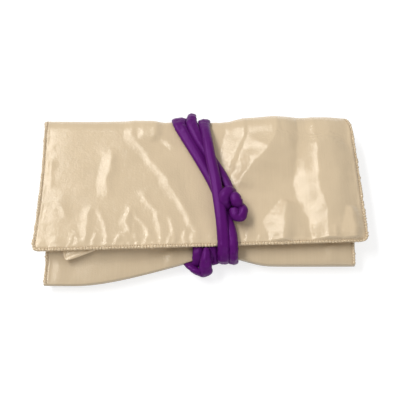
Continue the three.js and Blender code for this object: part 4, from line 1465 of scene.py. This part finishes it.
def zip_panel(side, sign):
    """One panel of the zip pocket, sewn down on three sides; gives the routes of its stitches."""
    low, high = extent("zip_pocket_" + side + "_panel")
    width, depth = high.x - low.x, high.y - low.y
    across = graded(width, fine=0.4, coarse=1.5, border=4) + low.x
    along = graded(depth, fine=0.35, coarse=0.9, border=3.5) + low.y
    outside, inside = (low.y, high.y) if sign < 0 else (high.y, low.y)

    def rise(x, y):
        sewn = np.minimum(np.minimum(x - low.x, high.x - x), np.abs(y - outside))
        free = np.abs(y - inside)
        full = high.z - BACK_TOP - SEAM_HEIGHT
        lip = ridge(free, place=0.9, height=0.3, width=0.8)
        lip = lip + ridge(free, place=LIP_INSET, height=-0.22, width=0.4)
        uneven = waves(x, y, size=13, height=0.18, seed=41) * clamp(sewn / 6)
        up = SEAM_HEIGHT + (full + lip + uneven) * swelling(sewn - ZIP_INSET, run=3.4)
        return np.minimum(sewn, free), up

    outer, inner = patch_faces(rise, wall=0.5, fall=0.2, radius=0.5, least=0.05)
    panel = grid_piece("zip_pocket_" + side, across, along, outer, inner, [lining_satin(), lining_satin()])
    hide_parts("zip_pocket_" + side + "_panel", "zip_pocket_" + side + "_seam",
                *(["zip_pocket_left_seam", "zip_pocket_right_seam"] if sign < 0 else []))
    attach(panel, "back")
    seam = three_sides(outer, low.x + ZIP_INSET, high.x - ZIP_INSET, inside, outside - sign * ZIP_INSET,
                       side_points=12, near_points=120)
    lip_u = np.linspace(low.x + 3, high.x - 3, 120)
    lip = outer(lip_u, np.full(120, inside + sign * LIP_INSET))
    return [seam, np.stack(lip, axis=1)]


def make_zip_pocket():
    routes = []
    for side, sign in (("front", -1), ("rear", 1)):
        routes.extend(zip_panel(side, sign))
        low, high = extent("zip_tape_" + side)
        tape = flat_strip("zip_tape_" + side + "_cloth", low, high, tape_material(), crown=0.05)
        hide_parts("zip_tape_" + side)
        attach(tape, "back")
        make_teeth(side, sign)
    rows = stitch_rows("zip_pocket_stitching", routes, PATCH_STITCH_LIFT)
    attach(rows, "back")


# Hardware keeps its solids and gets worn brass.
def make_hardware():
    material = bpy.data.materials.get("brass")
    if material is None:
        raise RuntimeError("The packed part has no brass slot")
    worn_brass(Nodes(material), bpy.context.scene.roll_colours.brass)


# Stage, in metres.
CAMERA_TARGET = Vector((-0.18, -1.29, 12)) * MM
CAMERA_RISE = math.radians(62)
CAMERA_DISTANCE = 0.56
CAMERA_LENS = 71.25
CAMERA_SENSOR = 36
LIGHT_TARGET = Vector((0, 0, 0.02))
FLOOR_HALF = 3
FLOOR_GLOW = 0.7
WORLD_STRENGTH = 0.38


def floor_material():
    """Pale floor that keeps the shadow and shows white to the camera elsewhere."""
    material = bpy.data.materials.new("pale_floor")
    nodes = Nodes(material)
    nodes.tree.nodes.remove(nodes.shader)
    path = nodes.add("ShaderNodeLightPath")
    seen = path.outputs["Is Camera Ray"]
    for ray in ("Is Glossy Ray", "Is Transmission Ray"):
        either = nodes.add("ShaderNodeMath", operation="MAXIMUM")
        nodes.link(seen, either.inputs[0])
        nodes.link(path.outputs[ray], either.inputs[1])
        seen = either.outputs[0]
    level = nodes.add("ShaderNodeMath", operation="MULTIPLY")
    level.inputs[1].default_value = FLOOR_GLOW
    nodes.link(seen, level.inputs[0])
    glow = nodes.add("ShaderNodeEmission", Color=(1, 1, 1, 1))
    nodes.link(level.outputs[0], glow.inputs["Strength"])
    lit = nodes.add("ShaderNodeBsdfDiffuse", Color=(0.5, 0.5, 0.5, 1))
    both = nodes.add("ShaderNodeAddShader")
    nodes.link(lit.outputs[0], both.inputs[0])
    nodes.link(glow.outputs[0], both.inputs[1])
    nodes.link(both.outputs[0], nodes.tree.nodes["Material Output"].inputs["Surface"])
    return material


def area_light(name, place, size, power):
    """A soft box that looks at the roll, with its second side along +Y."""
    data = bpy.data.lights.new(name, "AREA")
    data.shape = "RECTANGLE"
    data.size, data.size_y = size
    data.energy = power
    lamp = new_object(name, data)
    lamp.location = place
    back = (Vector(place) - LIGHT_TARGET).normalized()
    along = (Vector((0, 1, 0)) - back * back.y).normalized()
    lamp.rotation_euler = Matrix((along.cross(back), along, back)).transposed().to_euler()


def make_stage():
    scene = bpy.context.scene
    scene.view_settings.view_transform = "Standard"
    camera = new_object("camera", bpy.data.cameras.new("camera"))
    away = Vector((0, -math.cos(CAMERA_RISE), math.sin(CAMERA_RISE)))
    camera.location = CAMERA_TARGET + away * CAMERA_DISTANCE
    camera.rotation_euler = (-away).to_track_quat("-Z", "Y").to_euler()
    camera.data.lens = CAMERA_LENS
    camera.data.sensor_width = CAMERA_SENSOR
    scene.camera = camera
    work = bmesh.new()
    bmesh.ops.create_grid(work, x_segments=1, y_segments=1, size=FLOOR_HALF)
    new_object("floor", mesh_from(work, "floor", [floor_material()]))
    world = bpy.data.worlds.new("studio")
    world.use_nodes = True
    background = world.node_tree.nodes["Background"]
    background.inputs["Color"].default_value = (1, 1, 1, 1)
    background.inputs["Strength"].default_value = WORLD_STRENGTH
    scene.world = world
    area_light("softbox", place=(-1.533, 1.0065, 2.3745), size=(0.8, 3.0), power=69.0)
    area_light("fill", place=(1.1, -2.2, 1.5), size=(1.6, 1.2), power=14.0)


# Operators, one for each piece or group of like pieces and one for the stage.
class PieceOperator:
    """What every operator of the roll shares."""
    bl_options = {"REGISTER", "UNDO"}


class ROLL_OT_stage(PieceOperator, bpy.types.Operator):
    """Set up the camera, the soft light and the pale floor"""
    bl_idname = "jewelry_roll.stage"
    bl_label = "Stage"

    def execute(self, context):
        make_stage()
        return {"FINISHED"}


class ROLL_OT_tie(PieceOperator, bpy.types.Operator):
    """Wind the satin tie about the roll and knot its end"""
    bl_idname = "jewelry_roll.tie"
    bl_label = "Tie"

    def execute(self, context):
        make_tie()
        return {"FINISHED"}


class ROLL_OT_flap(PieceOperator, bpy.types.Operator):
    """Model the padded flap with its hem, creases and top fold"""
    bl_idname = "jewelry_roll.flap"
    bl_label = "Flap"

    def execute(self, context):
        make_flap()
        return {"FINISHED"}


class ROLL_OT_front(PieceOperator, bpy.types.Operator):
    """Model the turned-up front with its bottom fold"""
    bl_idname = "jewelry_roll.front"
    bl_label = "Front"

    def execute(self, context):
        make_front()
        return {"FINISHED"}


class ROLL_OT_back(PieceOperator, bpy.types.Operator):
    """Model the padded back"""
    bl_idname = "jewelry_roll.back"
    bl_label = "Back"

    def execute(self, context):
        make_back()
        return {"FINISHED"}


class ROLL_OT_slip_pocket(PieceOperator, bpy.types.Operator):
    """Model the slip pocket under the flap"""
    bl_idname = "jewelry_roll.slip_pocket"
    bl_label = "Slip pocket"

    def execute(self, context):
        make_slip_pocket()
        return {"FINISHED"}


class ROLL_OT_pockets(PieceOperator, bpy.types.Operator):
    """Model the two slip pockets on the back lining"""
    bl_idname = "jewelry_roll.pockets"
    bl_label = "Pockets"

    def execute(self, context):
        make_pockets()
        return {"FINISHED"}


class ROLL_OT_ring_bar(PieceOperator, bpy.types.Operator):
    """Model the stuffed ring bar with its strap and tab"""
    bl_idname = "jewelry_roll.ring_bar"
    bl_label = "Ring bar"

    def execute(self, context):
        make_ring_bar()
        return {"FINISHED"}


class ROLL_OT_zip_pocket(PieceOperator, bpy.types.Operator):
    """Model the zip pocket with its tapes and teeth"""
    bl_idname = "jewelry_roll.zip_pocket"
    bl_label = "Zip pocket"

    def execute(self, context):
        make_zip_pocket()
        return {"FINISHED"}


class ROLL_OT_hardware(PieceOperator, bpy.types.Operator):
    """Give the slider, the pull, the stops and the snap worn brass"""
    bl_idname = "jewelry_roll.hardware"
    bl_label = "Hardware"

    def execute(self, context):
        make_hardware()
        return {"FINISHED"}


class ROLL_PT_panel(bpy.types.Panel):
    """Lists the sizes, the colours and the pieces of the roll"""
    bl_idname = "ROLL_PT_panel"
    bl_label = "Jewelry roll"
    bl_space_type = "VIEW_3D"
    bl_region_type = "UI"
    bl_category = "Jewelry roll"

    def draw(self, context):
        for group in (context.scene.roll_sizes, context.scene.roll_colours):
            for key in group.__annotations__:
                self.layout.prop(group, key)
        for operator in OPERATORS:
            self.layout.operator(operator.bl_idname)


OPERATORS = (ROLL_OT_stage, ROLL_OT_tie, ROLL_OT_flap, ROLL_OT_front, ROLL_OT_back, ROLL_OT_slip_pocket,
             ROLL_OT_pockets, ROLL_OT_ring_bar, ROLL_OT_zip_pocket, ROLL_OT_hardware)
CLASSES = (RollSizes, RollColours, *OPERATORS, ROLL_PT_panel)


def register():
    for cls in CLASSES:
        bpy.utils.register_class(cls)
    bpy.types.Scene.roll_sizes = bpy.props.PointerProperty(type=RollSizes)
    bpy.types.Scene.roll_colours = bpy.props.PointerProperty(type=RollColours)


def unregister():
    del bpy.types.Scene.roll_colours
    del bpy.types.Scene.roll_sizes
    for cls in reversed(CLASSES):
        bpy.utils.unregister_class(cls)


def main():
    register()
    bpy.ops.jewelry_roll.stage()
    bpy.ops.jewelry_roll.tie()
    bpy.ops.jewelry_roll.flap()
    bpy.ops.jewelry_roll.front()
    bpy.ops.jewelry_roll.back()
    bpy.ops.jewelry_roll.slip_pocket()
    bpy.ops.jewelry_roll.pockets()
    bpy.ops.jewelry_roll.ring_bar()
    bpy.ops.jewelry_roll.zip_pocket()
    bpy.ops.jewelry_roll.hardware()


if __name__ == "__main__":
    main()
